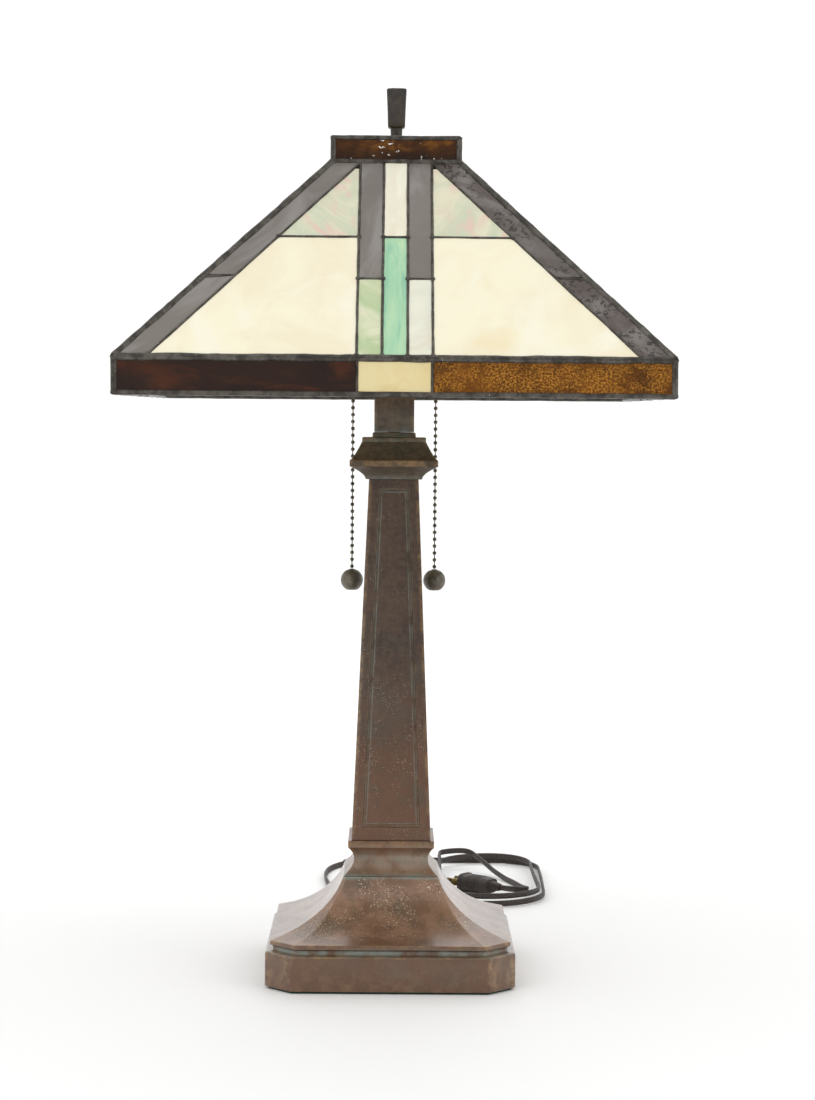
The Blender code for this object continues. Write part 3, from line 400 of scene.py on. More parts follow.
def bronze(name, colours, foot_warmth=0.0, rub=1.0, green=1.0, specks=0.5, metallic=0.35,
           coat=0.3):
    """Patinated bronze: mottled browns, rubbed gold on arrises, green in the grooves.

    Every layer is a noise held between two values, at a scale in waves a metre.
    """
    dark, middle, warm = colours
    f = Finish(name, CASTING_ROUGH, metallic, coat=coat, coat_rough=COAT_ROUGH)
    colour = f.mixed(f.between(f.noise(16, 6, 0.68), 0.38, 0.64), dark, middle)
    grain = f.between(f.noise(260, 4, 0.65), 0.38, 0.66)
    colour = f.mixed(f.times(grain, 0.42), colour, warm)
    if foot_warmth:
        height = f.axis("Z")
        foot = f.between(f.plus(height, f.times(f.noise(9, 3), 0.10)), RED_BELOW, RED_WHOLE)
        colour = f.mixed(f.times(foot, foot_warmth), colour, FOOT_RED)
        # painted light: the flare is lightened between two heights, where light from above falls
        # on its upturned faces
        painted_light = f.times(f.between(height, *PAINTED_LIGHT_TOP), f.between(height, *PAINTED_LIGHT_FOOT))
        painted_light = f.times(painted_light, f.between(f.noise(34, 5, 0.7), 0.34, 0.66, 0.30, 1.0))
        colour = f.mixed(painted_light, colour, FLARE_PAINTED_LIGHT)
    olive = f.between(f.noise(24, 5, 0.7), 0.49, 0.64)
    colour = f.mixed(f.times(olive, 0.50), colour, OLIVE)
    pits = f.between(f.noise(520, 3, 0.7), 0.60, 0.72)
    colour = f.mixed(f.times(pits, 0.55), colour, PIT_BROWN)
    verdigris = f.times(f.mark("groove"), f.between(f.noise(70, 4, 0.6), 0.30, 0.58))
    colour = f.mixed(f.times(verdigris, 0.72 * green), colour, VERDIGRIS)
    worn = f.times(f.mark("edge"), f.between(f.noise(95, 4, 0.7), 0.40, 0.66))
    colour = f.mixed(f.times(worn, rub), colour, RUBBED_GOLD)
    if specks:
        dots = f.times(f.between(f.noise(900, 2, 0.5), 0.625, 0.665),
                       f.between(f.noise(30, 4, 0.7), 0.47, 0.58))
        dots = f.times(dots, f.between(f.axis("Z"), 0.030, 0.045))
        colour = f.mixed(f.times(dots, specks), colour, PALE_FLECK)
    rough = f.between(f.noise(60, 4), 0.3, 0.7, 0.38, 0.50)
    relief = f.plus(f.noise(190, 5, 0.7), f.times(f.noise(30, 3), 1.2))
    return f.end(colour, rough, relief, 0.25, 0.0004)


GLASS_IOR = 1.52
GLINT, FADED, HOLE_BROWN = (0.80, 0.78, 0.74), (0.016, 0.008, 0.005), (0.010, 0.007, 0.006)
FADE_LIFT, FADE_WAVER = 0.008, 0.016    # a fading pane's dark end stands a little above its foot


def glass(name, colours, streak=(55, 9), turn=0.0, rough=0.14, patches=None, granular=0.0,
          pits=0.0, swirl=1.0, sharp=(0.36, 0.64), shine=0.5, fade=None):
    """Opalescent sheet glass: streaks along the pull of the sheet, ripple or granular relief.

    Two sheets of stretched noise mix the first colour with the second and the third. granular
    covers it in small bright grains instead, fade darkens a pane between two heights, and pits
    sinks dark holes in it.
    """
    f = Finish(name, rough, 0.0, GLASS_IOR)
    f.shader.inputs["Specular IOR Level"].default_value = shine
    height = f.axis("Z")
    f.flow()
    scale = (*streak, 1)
    wisps = f.between(f.noise(1.0, 5, 0.6, swirl, f.stretched(scale, turn=turn)), *sharp)
    colour = f.mixed(wisps, colours[0], colours[1])
    if len(colours) > 2 and not granular:
        second = f.between(f.noise(1.3, 4, 0.55, swirl * 1.4,
                                   f.stretched(scale, (4.7, 2.2, 0), turn)), 0.47, 0.68)
        colour = f.mixed(second, colour, colours[2])
    if patches:
        cloud = f.between(f.noise(16, 3, 0.5, 0.6), 0.55, 0.78)
        colour = f.mixed(f.times(cloud, 0.6), colour, patches)
    relief = f.noise(42, 3, 0.5, 0.4)
    if granular:
        relief = f.plus(f.times(relief, 0.5), f.times(f.cells(430), granular))
        specks = f.times(f.between(f.noise(640, 3, 0.75), 0.42, 0.64),
                         f.between(f.noise(46, 4, 0.7), 0.38, 0.60, 0.12, 1.0))
        colour = f.mixed(specks, colour, colours[-1])
    if fade:                            # darker towards the foot, with a few painted glints
        foot = f.plus(height, f.times(f.noise(95, 4, 0.6), FADE_WAVER))
        colour = f.mixed(f.between(foot, fade[1] + FADE_LIFT, fade[0] + FADE_LIFT, 0.0, 0.85),
                         colour, FADED)
        # painted glints: small white highlights scattered over the pane
        painted_glints = f.times(f.between(f.noise(330, 2, 0.5), 0.63, 0.66),
                        f.between(f.noise(60, 2, 0.5), 0.50, 0.56))
        colour = f.mixed(painted_glints, colour, GLINT)
    if pits:
        holes = f.times(f.between(f.noise(230, 4, 0.7, 0.6), 0.52, 0.58),
                        f.between(f.noise(34, 3, 0.6), 0.44, 0.54))
        colour = f.mixed(f.times(holes, pits), colour, HOLE_BROWN)
        relief = f.minus(relief, f.times(holes, 0.8))
    strength, distance = (0.4, 0.0006) if granular or pits else (0.18, 0.0008)
    return f.end(colour, None, relief, strength, distance)


LEAD_DARK, LEAD_PALE = (0.040, 0.035, 0.029), (0.110, 0.099, 0.084)
LEAD_HIGHLIGHT, LEAD_FLECK = (0.24, 0.22, 0.19), (0.8, 0.78, 0.7)


def lead_finish():
    """Darkened solder: grey-brown, lighter in patches of painted highlight, with small pale
    specks.
    """
    f = Finish("darkened_lead", 0.36, 0.55)
    colour = f.mixed(f.between(f.noise(120, 4, 0.65), 0.36, 0.66), LEAD_DARK, LEAD_PALE)
    # painted highlight: lighter patches scattered over the solder
    bright = f.between(f.noise(300, 3, 0.7), 0.60, 0.72)
    colour = f.mixed(f.times(bright, 0.5), colour, LEAD_HIGHLIGHT)
    dots = f.times(f.between(f.cells(300), 0.13, 0.07),
                   f.between(f.noise(40, 4, 0.7), 0.56, 0.64))
    colour = f.mixed(dots, colour, LEAD_FLECK)
    return f.end(colour, f.between(f.noise(150, 3), 0.3, 0.7, 0.28, 0.5), f.noise(210, 4, 0.6),
                 0.4, 0.0005)


def metal(name, colour, second, roughness=0.3, metallic=1.0, scale=160):
    """Plain metal with faint tarnish and fine scratches."""
    f = Finish(name, roughness, metallic)
    tarnish = f.between(f.noise(scale, 4, 0.6), 0.4, 0.7)
    return f.end(f.mixed(tarnish, colour, second),
                 f.between(f.noise(scale * 1.6, 3), 0.3, 0.7, roughness * 0.7, roughness * 1.4),
                 f.noise(scale * 4, 3), 0.12, 0.0003)


def matt(name, colour, second, roughness=0.8, scale=900, relief=0.5):
    """Rough cast iron, felt or moulded vinyl: fine grain over a quiet colour."""
    f = Finish(name, roughness)
    grain = f.noise(scale, 4, 0.7)
    return f.end(f.mixed(f.between(grain, 0.35, 0.7), colour, second),
                 f.between(f.noise(scale * 0.2, 3), 0.3, 0.7, roughness * 0.85,
                           min(1.0, roughness * 1.15)), grain, relief, 0.0004)


MADE = {}                       # the materials by name, once they are made


def finishes():
    """Make every material once, from the colours in the panels."""
    if MADE:
        return MADE
    g, b, c = (bpy.context.scene.lamp_glass, bpy.context.scene.lamp_bronze,
               bpy.context.scene.lamp_cord)

    def rgb(colour):
        return tuple(colour)[:3]

    body = (rgb(b.dark), rgb(b.middle), rgb(b.warm))
    MADE.update(
        column=bronze("bronze_column", body, foot_warmth=0.65, rub=0.6, green=1.0, specks=0.25,
                      coat=0.5),
        base=bronze("bronze_base", body, foot_warmth=0.65, rub=0.85, green=1.3, specks=0.9,
                    coat=0.9),
        capital=bronze("bronze_capital", ((0.040, 0.028, 0.018), (0.095, 0.066, 0.040),
                                          (0.150, 0.105, 0.065)), 0.0, 0.7, 0.8, 0.1),
        finial=bronze("dark_finial", ((0.022, 0.020, 0.018), (0.045, 0.040, 0.036),
                                      (0.07, 0.062, 0.055)), 0.0, 0.25, 0.2, 0.0, 0.2, 0.1),
        ball=bronze("dark_ball", ((0.070, 0.062, 0.044), (0.165, 0.142, 0.100),
                                  (0.26, 0.22, 0.16)), 0.0, 0.5, 0.4, 0.0),
        lead=lead_finish(),
        chain=metal("aged_chain", (0.17, 0.15, 0.11), (0.06, 0.05, 0.04), 0.34, 0.9, 500),
        brass=metal("plain_brass", rgb(b.brass), (0.40, 0.27, 0.09), 0.28),
        steel=metal("zinc_steel", (0.52, 0.53, 0.54), (0.38, 0.38, 0.38), 0.36),
        iron=matt("rough_iron", (0.030, 0.030, 0.030), (0.065, 0.060, 0.055), 0.75, 500, 0.7),
        felt=matt("green_felt", (0.012, 0.035, 0.020), (0.035, 0.075, 0.048), 0.97, 1500, 0.9),
        vinyl=matt("brown_vinyl", rgb(c.colour), (0.058, 0.042, 0.034), 0.52, 700, 0.12),
        bulb=matt("frosted_bulb", (0.86, 0.86, 0.84), (0.92, 0.92, 0.90), 0.42, 300, 0.05),
        cream=glass("cream_glass", (rgb(g.cream), (0.86, 0.78, 0.57), (0.90, 0.86, 0.69)),
                    (14, 9), 0.3, 0.13, patches=(0.84, 0.70, 0.42)),
        cream_band=glass("cream_band_glass", ((0.85, 0.82, 0.67), (0.78, 0.73, 0.57),
                                              (0.88, 0.86, 0.72)), (60, 14), 0.1, 0.13, swirl=0.6,
                         sharp=(0.25, 0.75)),
        meadow=glass("streaky_green_pink_glass", ((0.56, 0.61, 0.44), (0.76, 0.72, 0.53),
                                                  (0.74, 0.53, 0.44)), (24, 14), 0.9, 0.12,
                     swirl=1.6, sharp=(0.34, 0.68)),
        teal=glass("teal_glass", (rgb(g.teal), (0.48, 0.70, 0.43), (0.25, 0.53, 0.36)),
                   (60, 9), 0.0, 0.12),
        green=glass("pale_green_glass", ((0.44, 0.56, 0.30), (0.58, 0.63, 0.40),
                                         (0.70, 0.71, 0.50)), (24, 12), 0.7, 0.12, swirl=0.9,
                    sharp=(0.3, 0.7)),
        white=glass("pale_white_glass", ((0.70, 0.70, 0.58), (0.82, 0.81, 0.68),
                                         (0.73, 0.68, 0.54)), (26, 12), -0.5, 0.12, swirl=0.9,
                    sharp=(0.3, 0.7)),
        brown=glass("brown_glass", (rgb(g.brown), (0.150, 0.130, 0.114), (0.245, 0.225, 0.205)),
                    (18, 7), 0.0, 0.20, swirl=0.8, sharp=(0.3, 0.7)),
        rough_brown=glass("rough_brown_glass", ((0.120, 0.100, 0.088), (0.070, 0.050, 0.040),
                                                (0.170, 0.150, 0.136)), (30, 14), 0.4, 0.22,
                          pits=0.9),
        skirt_brown=glass("skirt_brown_glass", ((0.016, 0.009, 0.007), (0.026, 0.012, 0.008),
                                                (0.062, 0.019, 0.008)), (11, 26), 0.0, 0.10,
                          swirl=0.6, sharp=(0.3, 0.7), shine=0.32),
        skirt_cream=glass("skirt_cream_glass", ((0.74, 0.61, 0.31), (0.76, 0.65, 0.36),
                                                (0.72, 0.58, 0.29)), (34, 26), 0.2, 0.16),
        amber=glass("amber_glass", ((0.130, 0.043, 0.005), (0.060, 0.021, 0.004),
                                    rgb(g.amber)), (26, 26), 0.0, 0.10, granular=0.5,
                    shine=0.22),
        crown=glass("crown_glass", ((0.110, 0.038, 0.006), (0.040, 0.014, 0.004),
                                    (0.230, 0.085, 0.010)), (40, 52), 0.0, 0.12,
                    swirl=0.8, sharp=(0.32, 0.68), shine=0.28, fade=(CROWN_Z, CROWN_TOP_Z)),
    )
    return MADE


# ---- settings -------------------------------------------------------------------------------
def size(name, words, default):
    """A setting in metres."""
    return bpy.props.FloatProperty(name=name, description=words, default=default, min=0.0,
                                   subtype="DISTANCE", unit="LENGTH", precision=4)


def tint(name, words, default):
    """A setting that is a colour."""
    return bpy.props.FloatVectorProperty(name=name, description=words, default=default, size=3,
                                         min=0.0, max=1.0, subtype="COLOR")


def power(name, words, default):
    """A setting in watts."""
    return bpy.props.FloatProperty(name=name, description=words, default=default, min=0.0,
                                   subtype="POWER", unit="POWER")


def strength(name, words, default):
    """A setting that is a plain factor."""
    return bpy.props.FloatProperty(name=name, description=words, default=default, min=0.0)


class LampGlassSettings(bpy.types.PropertyGroup):
    """Glass and lead of the shade."""
    thickness: size("Glass", "Thickness of the panes", 0.003)
    ripple: size("Ripple", "How far the face of a pane is out of flat", 0.00016)
    lead: size("Lead line", "Width of a lead line", 0.0027)
    hip: size("Hip lead", "Width of the lead along a hip or corner", 0.0050)
    eave: size("Eave lead", "Width of the lead along the eave", 0.0056)
    rim: size("Rim lead", "Width of the lead along the lower edge", 0.0046)
    band: size("Band", "Half the width of the striped band", 0.0275)
    stripe: size("Stripe", "Half the width of the middle stripe", 0.0092)
    strip: size("Hip strip", "Width of the dark strip beside a hip", 0.025)
    cream: tint("Cream", "Colour of the large panes", (0.90, 0.85, 0.645))
    teal: tint("Teal", "Colour of the lower middle stripe", (0.33, 0.61, 0.38))
    brown: tint("Brown", "Colour of the dark strips", (0.185, 0.162, 0.142))
    amber: tint("Amber", "Colour of the bright grains in the skirt", (0.46, 0.200, 0.026))


class LampBronzeSettings(bpy.types.PropertyGroup):
    """Castings and metal of the stand."""
    dark: tint("Dark", "Darkest patina", (0.034, 0.019, 0.011))
    middle: tint("Middle", "Main patina", (0.070, 0.038, 0.021))
    warm: tint("Warm", "Grain of the patina", (0.116, 0.068, 0.040))
    brass: tint("Brass", "Colour of plain brass", (0.62, 0.46, 0.18))
    arris: size("Arris", "Radius of the column's corners", 0.0011)
    panel: size("Panel", "Depth of the column's panels", 0.0018)


class LampCordSettings(bpy.types.PropertyGroup):
    """Flat twin cord."""
    width: size("Width", "Width of the flat cord", 0.0054)
    thickness: size("Thickness", "Thickness of the flat cord", 0.0029)
    length: size("Length", "Whole length of the cord", 1.8)
    colour: tint("Colour", "Colour of the vinyl", (0.020, 0.014, 0.012))


class LampStageSettings(bpy.types.PropertyGroup):
    """Floor, lights and camera."""
    floor: tint("Floor", "Colour of the floor", (0.97, 0.97, 0.97))
    key: power("Key light", "Power of the key light", 13.0)
    fill: power("Fill light", "Power of the fill light", 8.0)
    backdrop: power("Backdrop light", "Power of the light on the backdrop", 30.0)
    behind: strength("Behind", "Strength of the surround behind the camera", 0.42)
    world: strength("Surround", "Strength of the white surround", 1.0)


# ---- stage ----------------------------------------------------------------------------------
FLOOR_FRONT, FLOOR_BEND, BEND_RADIUS, BACKDROP_TOP, FLOOR_SIDE = -4.0, 3.0, 1.2, 5.0, 5.0
CAMERA_PLACE, CAMERA_LENS = (0.0, -2.03, 0.4455), 83.4
CAMERA_PITCH, CAMERA_YAW, CAMERA_ROLL = radians(3.07), radians(0.32), radians(0.45)
DIM_WHOLE, DIM_ENDS = -0.90, -0.40      # how far a direction leans to the camera's side


def soft_light(name, energy, wide, tall, place, aim):
    """A soft rectangular light at a place, turned to shine at a point."""
    lamp = bpy.data.lights.new(name, "AREA")
    lamp.shape, lamp.size, lamp.size_y, lamp.energy = "RECTANGLE", wide, tall, energy
    thing = bpy.data.objects.new(name, lamp)
    bpy.context.scene.collection.objects.link(thing)
    thing.location = place
    thing.rotation_mode = "QUATERNION"
    thing.rotation_quaternion = (Vector(aim) - Vector(place)).to_track_quat("-Z", "Y")


class LAMP_OT_stage(bpy.types.Operator):
    """Make the floor, the soft lights and the camera"""
    bl_idname = "lamp.stage"
    bl_label = "Stage"

    def execute(self, context):
        s = context.scene.lamp_stage
        context.scene.view_settings.view_transform = "Standard"
        self.surround(context, s)
        self.floor(context, s)
        soft_light("key", s.key, 1.6, 1.6, (-1.3, -1.9, 1.9), (0.0, 0.0, 0.38))
        soft_light("fill", s.fill, 1.6, 1.8, (1.7, -1.5, 1.1), (0.0, 0.0, 0.30))
        soft_light("front", s.fill * 0.4, 1.0, 0.5, (-0.9, -2.4, 0.12), (0.0, 0.0, 0.10))
        soft_light("back", s.fill * 0.8, 2.0, 1.2, (0.3, 1.8, 2.0), (0.0, 0.0, 0.40))
        soft_light("backdrop", s.backdrop, 3.0, 1.5, (0.0, 1.5, 2.3), (0.0, 4.2, 0.6))
        self.camera(context)
        return {"FINISHED"}

    def surround(self, context, s):
        """White all round, dim behind the camera so that the fronts of shiny pieces stay clear."""
        world = context.scene.world or bpy.data.worlds.new("surround")
        context.scene.world = world
        world.use_nodes = True
        nodes, links = world.node_tree.nodes, world.node_tree.links
        background = nodes["Background"]
        background.inputs["Strength"].default_value = s.world
        split = nodes.new("ShaderNodeSeparateXYZ")
        links.new(nodes.new("ShaderNodeTexCoord").outputs["Generated"], split.inputs[0])
        ramp = nodes.new("ShaderNodeMapRange")
        links.new(split.outputs["Y"], ramp.inputs["Value"])
        ramp.inputs["From Min"].default_value = DIM_WHOLE
        ramp.inputs["From Max"].default_value = DIM_ENDS
        ramp.inputs["To Min"].default_value = s.behind
        links.new(ramp.outputs["Result"], background.inputs["Color"])

    def floor(self, context, s):
        """A floor that curves up into a backdrop: straight, a quarter circle, straight."""
        turn = np.linspace(0, pi / 2, 17)
        y = np.concatenate([[FLOOR_FRONT], FLOOR_BEND + BEND_RADIUS * np.sin(turn),
                            [FLOOR_BEND + BEND_RADIUS]])
        z = np.concatenate([[0.0], BEND_RADIUS * (1 - np.cos(turn)), [BACKDROP_TOP]])
        x = np.array([-FLOOR_SIDE, FLOOR_SIDE])
        surface = part(np.stack(np.broadcast_arrays(x[None], y[:, None], z[:, None]), -1))
        mesh = bpy.data.meshes.new("floor")
        mesh.from_pydata(surface["points"], [], surface["faces"][0])
        mesh.polygons.foreach_set("use_smooth", np.ones(len(mesh.polygons), bool))
        mesh.materials.append(Finish("pale_floor", 0.65).end(tuple(s.floor)))
        floor = bpy.data.objects.new("floor", mesh)
        context.scene.collection.objects.link(floor)

    def camera(self, context):
        """The camera in front of the lamp, level with the middle of its column."""
        camera = bpy.data.cameras.new("camera")
        camera.lens, camera.sensor_width, camera.sensor_fit = CAMERA_LENS, 36.0, "AUTO"
        camera.clip_start, camera.clip_end = 0.05, 30.0
        eye = bpy.data.objects.new("camera", camera)
        context.scene.collection.objects.link(eye)
        eye.matrix_world = (Matrix.Translation(CAMERA_PLACE)
                            @ Matrix.Rotation(-CAMERA_YAW, 4, "Z")
                            @ Matrix.Rotation(pi / 2 - CAMERA_PITCH, 4, "X")
                            @ Matrix.Rotation(CAMERA_ROLL, 4, "Z"))
        context.scene.camera = eye


# ---- cord -----------------------------------------------------------------------------------
# The free cord's points: out of the sleeve, a loose loop behind the stand, past the hank, over
# its far end and round into the plug inside it.
CORD_ROUTE = (
    (0.0000, 0.0940, 0.0136), (0.0000, 0.1060, 0.0136), (0.0000, 0.1180, 0.0135),
    (-0.0010, 0.1320, 0.0118), (-0.0035, 0.1480, 0.0080), (-0.0080, 0.1660, 0.0044),
    (-0.0145, 0.1880, 0.0029), (-0.0235, 0.2160, 0.0028), (-0.0340, 0.2480, 0.0028),
    (-0.0445, 0.2840, 0.0028), (-0.0535, 0.3220, 0.0028), (-0.0600, 0.3600, 0.0028),
    (-0.0625, 0.3960, 0.0028), (-0.0590, 0.4280, 0.0028), (-0.0475, 0.4540, 0.0028),
    (-0.0290, 0.4720, 0.0030), (-0.0060, 0.4820, 0.0045), (0.0180, 0.4850, 0.0085),
    (0.0400, 0.4815, 0.0142), (0.0590, 0.4690, 0.0170), (0.0740, 0.4520, 0.0168),
    (0.0870, 0.4310, 0.0125), (0.0985, 0.4080, 0.0060), (0.1085, 0.3830, 0.0030),
    (0.1165, 0.3590, 0.0028), (0.1225, 0.3365, 0.0030), (0.1262, 0.3180, 0.0050),
    (0.1262, 0.3070, 0.0068), (0.1223, 0.2988, 0.0080), (0.1155, 0.2958, 0.0087),
    (0.1080, 0.2980, 0.0088), (0.10143, 0.30352, 0.0088),
)
ROUTE_OUT = 16                  # points of the route before it joins the hank
ROUTE_BACK = 19                 # first point of the route after the hank
HANK_TURNS, CORD_STEP = 1.90, 0.0022
PLUG_X, PLUG_Y = 0.0675, 0.3320
PLUG_TURN = radians(-40)
PLUG_LENGTH, PLUG_WIDTH, PLUG_HEIGHT = 0.034, 0.022, 0.017


def smooth_line(points, step):
    """Evenly spaced points on the smooth curve through the given ones (Catmull-Rom)."""
    points = np.asarray(points, float)
    ends = np.vstack([points[0] * 2 - points[1], points, points[-1] * 2 - points[-2]])
    a, b, c, d = (ends[i:len(ends) - 3 + i, None] for i in range(4))
    t = np.linspace(0, 1, 24, endpoint=False)[None, :, None]
    fine = 0.5 * (2 * b + (c - a) * t + (2 * a - 5 * b + 4 * c - d) * t ** 2
                  + (3 * b - a - 3 * c + d) * t ** 3)
    fine = np.vstack([fine.reshape(-1, 3), points[-1:]])
    run = np.concatenate([[0], np.cumsum(np.linalg.norm(np.diff(fine, axis=0), axis=1))])
    at = np.linspace(0, run[-1], int(run[-1] / step) + 1)
    return np.stack([np.interp(at, run, fine[:, k]) for k in range(3)], -1)


def hank_turn(t, radius, centre, straight):
    """A point on the hank at each t: a stadium, clockwise from the middle of its far end."""
    arc = pi * radius / 2                   # a quarter of the two half circles
    gone = np.mod(t, 1.0) * (4 * arc + 4 * straight)
    on_arcs = (np.clip(gone, 0, arc) + np.clip(gone - arc - 2 * straight, 0, 2 * arc)
               + np.clip(gone - 3 * arc - 4 * straight, 0, arc))
    fallen = (np.clip(gone - arc, 0, 2 * straight)
              - np.clip(gone - 3 * arc - 2 * straight, 0, 2 * straight))
    return (centre[0] + radius * np.sin(on_arcs / radius),
            centre[1] + straight - fallen + radius * np.cos(on_arcs / radius))


def cord_line():
    """The cord's middle line: the route out, the turns of the hank, the route to the plug.

    The second turn lies inside the first and then climbs on it; both waver by about a millimetre.
    """
    box_low, box_high = low("cord_hank"), high("cord_hank")
    centre = (box_low + box_high) / 2
    outer = (box_high - box_low)[0] / 2
    straight = (box_high - box_low)[1] / 2 - outer
    t = np.linspace(0.012, HANK_TURNS, int(34 * HANK_TURNS))
    radius = outer - 0.0040 - 0.0052 * np.clip((t - 0.45) / 0.5, 0, 1) + 0.0012 * np.sin(9.0 * t)
    x, y = hank_turn(t, radius, centre, straight)
    x += 0.0012 * np.sin(5.1 * t + 1.0)
    y += 0.0010 * np.sin(7.3 * t)
    z = 0.0029 + 0.0052 * np.clip((t - 0.80) / 0.25, 0, 1) + 0.0009 * (1 - np.cos(11.0 * t))
    z += 0.0070 * np.clip((t - HANK_TURNS + 0.16) / 0.16, 0, 1) ** 2
    hank = np.stack([x, y, z], -1)
    route = np.array(CORD_ROUTE)
    line = np.vstack([route[:ROUTE_OUT], hank, route[ROUTE_BACK + 1:]])
    return smooth_line(line, CORD_STEP)


WEB_DIP, WEB_WIDTH, STRAND_FULLNESS, CORD_SWAY = 0.34, 0.11, 0.62, 0.22


def flat_tube(line, wide, thick, sides=16):
    """Flat twin cord: a squarish oval with a dip along its middle, carried along a line."""
    along = np.gradient(line, axis=0)
    along /= np.linalg.norm(along, axis=1, keepdims=True)
    side = np.cross(np.array([0.0, 0.0, 1.0]), along)
    side /= np.linalg.norm(side, axis=1, keepdims=True)
    up = np.cross(along, side)
    turn = (np.arange(sides) + 0.5) * 2 * pi / sides
    across = np.cos(turn) * wide / 2
    waist = 1 - WEB_DIP * bell(across, 0.0, wide * WEB_WIDTH)
    rise = np.sign(np.sin(turn)) * np.abs(np.sin(turn)) ** STRAND_FULLNESS * thick / 2 * waist
    # a flat cord bends the easy way, so it stands on edge, and sways a little as it goes
    lean = pi / 2 + CORD_SWAY * np.sin(np.linspace(0, 23, len(line)))[:, None]
    a = across[None] * np.cos(lean) - rise[None] * np.sin(lean)
    b = across[None] * np.sin(lean) + rise[None] * np.cos(lean)
    points = line[:, None] + side[:, None] * a[..., None] + up[:, None] * b[..., None]
    return part(points, wrap=True, ends=True)


class LAMP_OT_cord(bpy.types.Operator):
    """Make the cord with its hank and the moulded plug"""
    bl_idname = "lamp.cord"
    bl_label = "Cord and plug"

    def execute(self, context):
        s = context.scene.lamp_cord
        looks = finishes()
        line = cord_line()
        cord = build("cord", [flat_tube(line, s.width, s.thickness)], [looks["vinyl"]], "stand",
                     ["power_cord", "cord_hank"], sharp=60)
        plug = self.plug(looks)
        for name in ("plug_blade_near", "plug_blade_far"):
            paint(name, looks["brass"])
        paint("cord_bushing", looks["vinyl"])
        return {"FINISHED"}

    def plug(self, looks):
        """Moulded plug: rounded oblongs carried from its face to the relief, with grip ribs.

        Its half width and half height shrink behind the grip, then go on as the grooved relief.
        """
        along = np.linspace(0, PLUG_LENGTH, 45)
        taper = 1 - 0.16 * np.clip((along - 0.022) / 0.012, 0, 1) ** 1.6
        ribs = -0.0007 * (np.sin((along - 0.011) * 2 * pi / 0.0032) > 0.15) * (
            (along > 0.0105) & (along < 0.0265))
        lip = 0.0008 * ((along > 0.0008) & (along < 0.0040))
        half_w = PLUG_WIDTH / 2 * taper + ribs + lip - 0.0008
        half_h = PLUG_HEIGHT / 2 * taper + ribs + lip - 0.0008
        half_w[0] -= 0.0010
        half_h[0] -= 0.0010
        relief = np.linspace(PLUG_LENGTH + 0.0003, PLUG_LENGTH + 0.0100, 14)
        grooves = 0.0005 * (np.arange(14) % 3 == 1)
        narrow = np.linspace(0.0052, 0.0034, 14) - grooves
        along = np.concatenate([along, relief])
        half_w, half_h = np.concatenate([half_w, narrow]), np.concatenate([half_h, narrow * 0.92])
        ring = square_ring(np.ones(len(along)), np.full(len(along), 0.62), 6)
        points = np.stack([np.broadcast_to(along[:, None], ring.shape[:2]),
                           ring[..., 0] * half_w[:, None], ring[..., 1] * half_h[:, None]], -1)
        body = part(points, wrap=True, ends=True)
        middle = (low("plug_body")[2] + high("plug_body")[2]) / 2
        lying = Matrix.Translation((PLUG_X, PLUG_Y, middle)) @ Matrix.Rotation(PLUG_TURN, 4, "Z")
        return build("plug", [carried(body, lying)], [looks["vinyl"]], "stand", ["plug_body"],
                     sharp=32)


def paint(node, material):
    """Give a solid node that stays as it is its own finish."""
    thing = bpy.data.objects[node]
    if thing.material_slots:
        thing.material_slots[0].material = material
    else:
        thing.data.materials.append(material)


# ---- stand ----------------------------------------------------------------------------------
class LAMP_OT_base(bpy.types.Operator):
    """Make the clipped-square foot: plinth, groove, ledge and concave flare"""
    bl_idname = "lamp.base"
    bl_label = "Foot"

    def execute(self, context):
        low_z, top_z, half = span("base_casting")
        clip, ledge_clip, groove_clip = 0.0203, 0.0192, 0.0181      # cut off each corner
        plinth_top, foot_z = 0.0290, 0.0368                         # heights of the two steps
        foot, neck, edge = half - 0.0038, 0.0375, 0.0013
        rows = [(half - 0.0030, clip - 0.0015, low_z), (half, clip, low_z),
                (half, clip, plinth_top - edge), (half - edge, clip - edge * 0.6, plinth_top),
                (foot - 0.0022, groove_clip, plinth_top + 0.0002),
                (foot - 0.0022, groove_clip, foot_z - 0.0040),
                (foot, ledge_clip, foot_z - 0.0030)]
        lower = eased([(h, z, c) for h, c, z in rows], 0.0009)[:, [0, 2, 1]]     # half, clip, z
        # the flare runs from its foot up to the neck, opening ever faster towards its foot
        t = np.linspace(1, 0, 40)[1:]
        spread = 0.26 * t + 0.54 * t ** 2.1 + 0.20 * t ** 7
        flare = np.stack([neck + (foot - neck) * spread, 0.0015 + 0.0176 * t ** 2.2,
                          top_z - (top_z - foot_z) * t], -1)
        lip = np.array([[foot, ledge_clip, foot_z - 0.0004],
                        [foot - 0.0004, ledge_clip - 0.0002, foot_z + 0.0002]])
        close = np.array([[0.0200, 0.0010, top_z], [0.0060, 0.0010, top_z]])
        profile = np.vstack([lower, lip, flare, close])
        ring = clipped_ring(profile[:, 0], profile[:, 1], np.full((len(profile), 1), 0.0018))
        points = raised(ring, profile[:, 2])
        z = points[..., 2]
        corner = clipped_corners()
        # the band along the plinth's top edge is partly rubbed wear and partly painted highlight,
        # where the plinth's top catches light
        rub = (0.75 * bell(z, plinth_top - 0.0006, 0.0010) + 0.60 * bell(z, foot_z, 0.0009)
               + corner * np.where(z < plinth_top, 0.85, 0.40) + 0.5 * bell(z, low_z, 0.0012))
        groove = bell(z, plinth_top + 0.0020, 0.0022) + bell(z, top_z, 0.0016)
        casting = part(points, wrap=True, ends=True, edge=np.clip(rub, 0, 1),
                       groove=np.clip(groove, 0, 1))
        looks = finishes()
        build("foot", [casting], [looks["base"]], "stand", ["base_casting"], 35,
              ("edge", "groove"))
        paint("felt_pad", looks["felt"])
        paint("base_weight", looks["iron"])
        paint("foot_nut", looks["steel"])
        return {"FINISHED"}


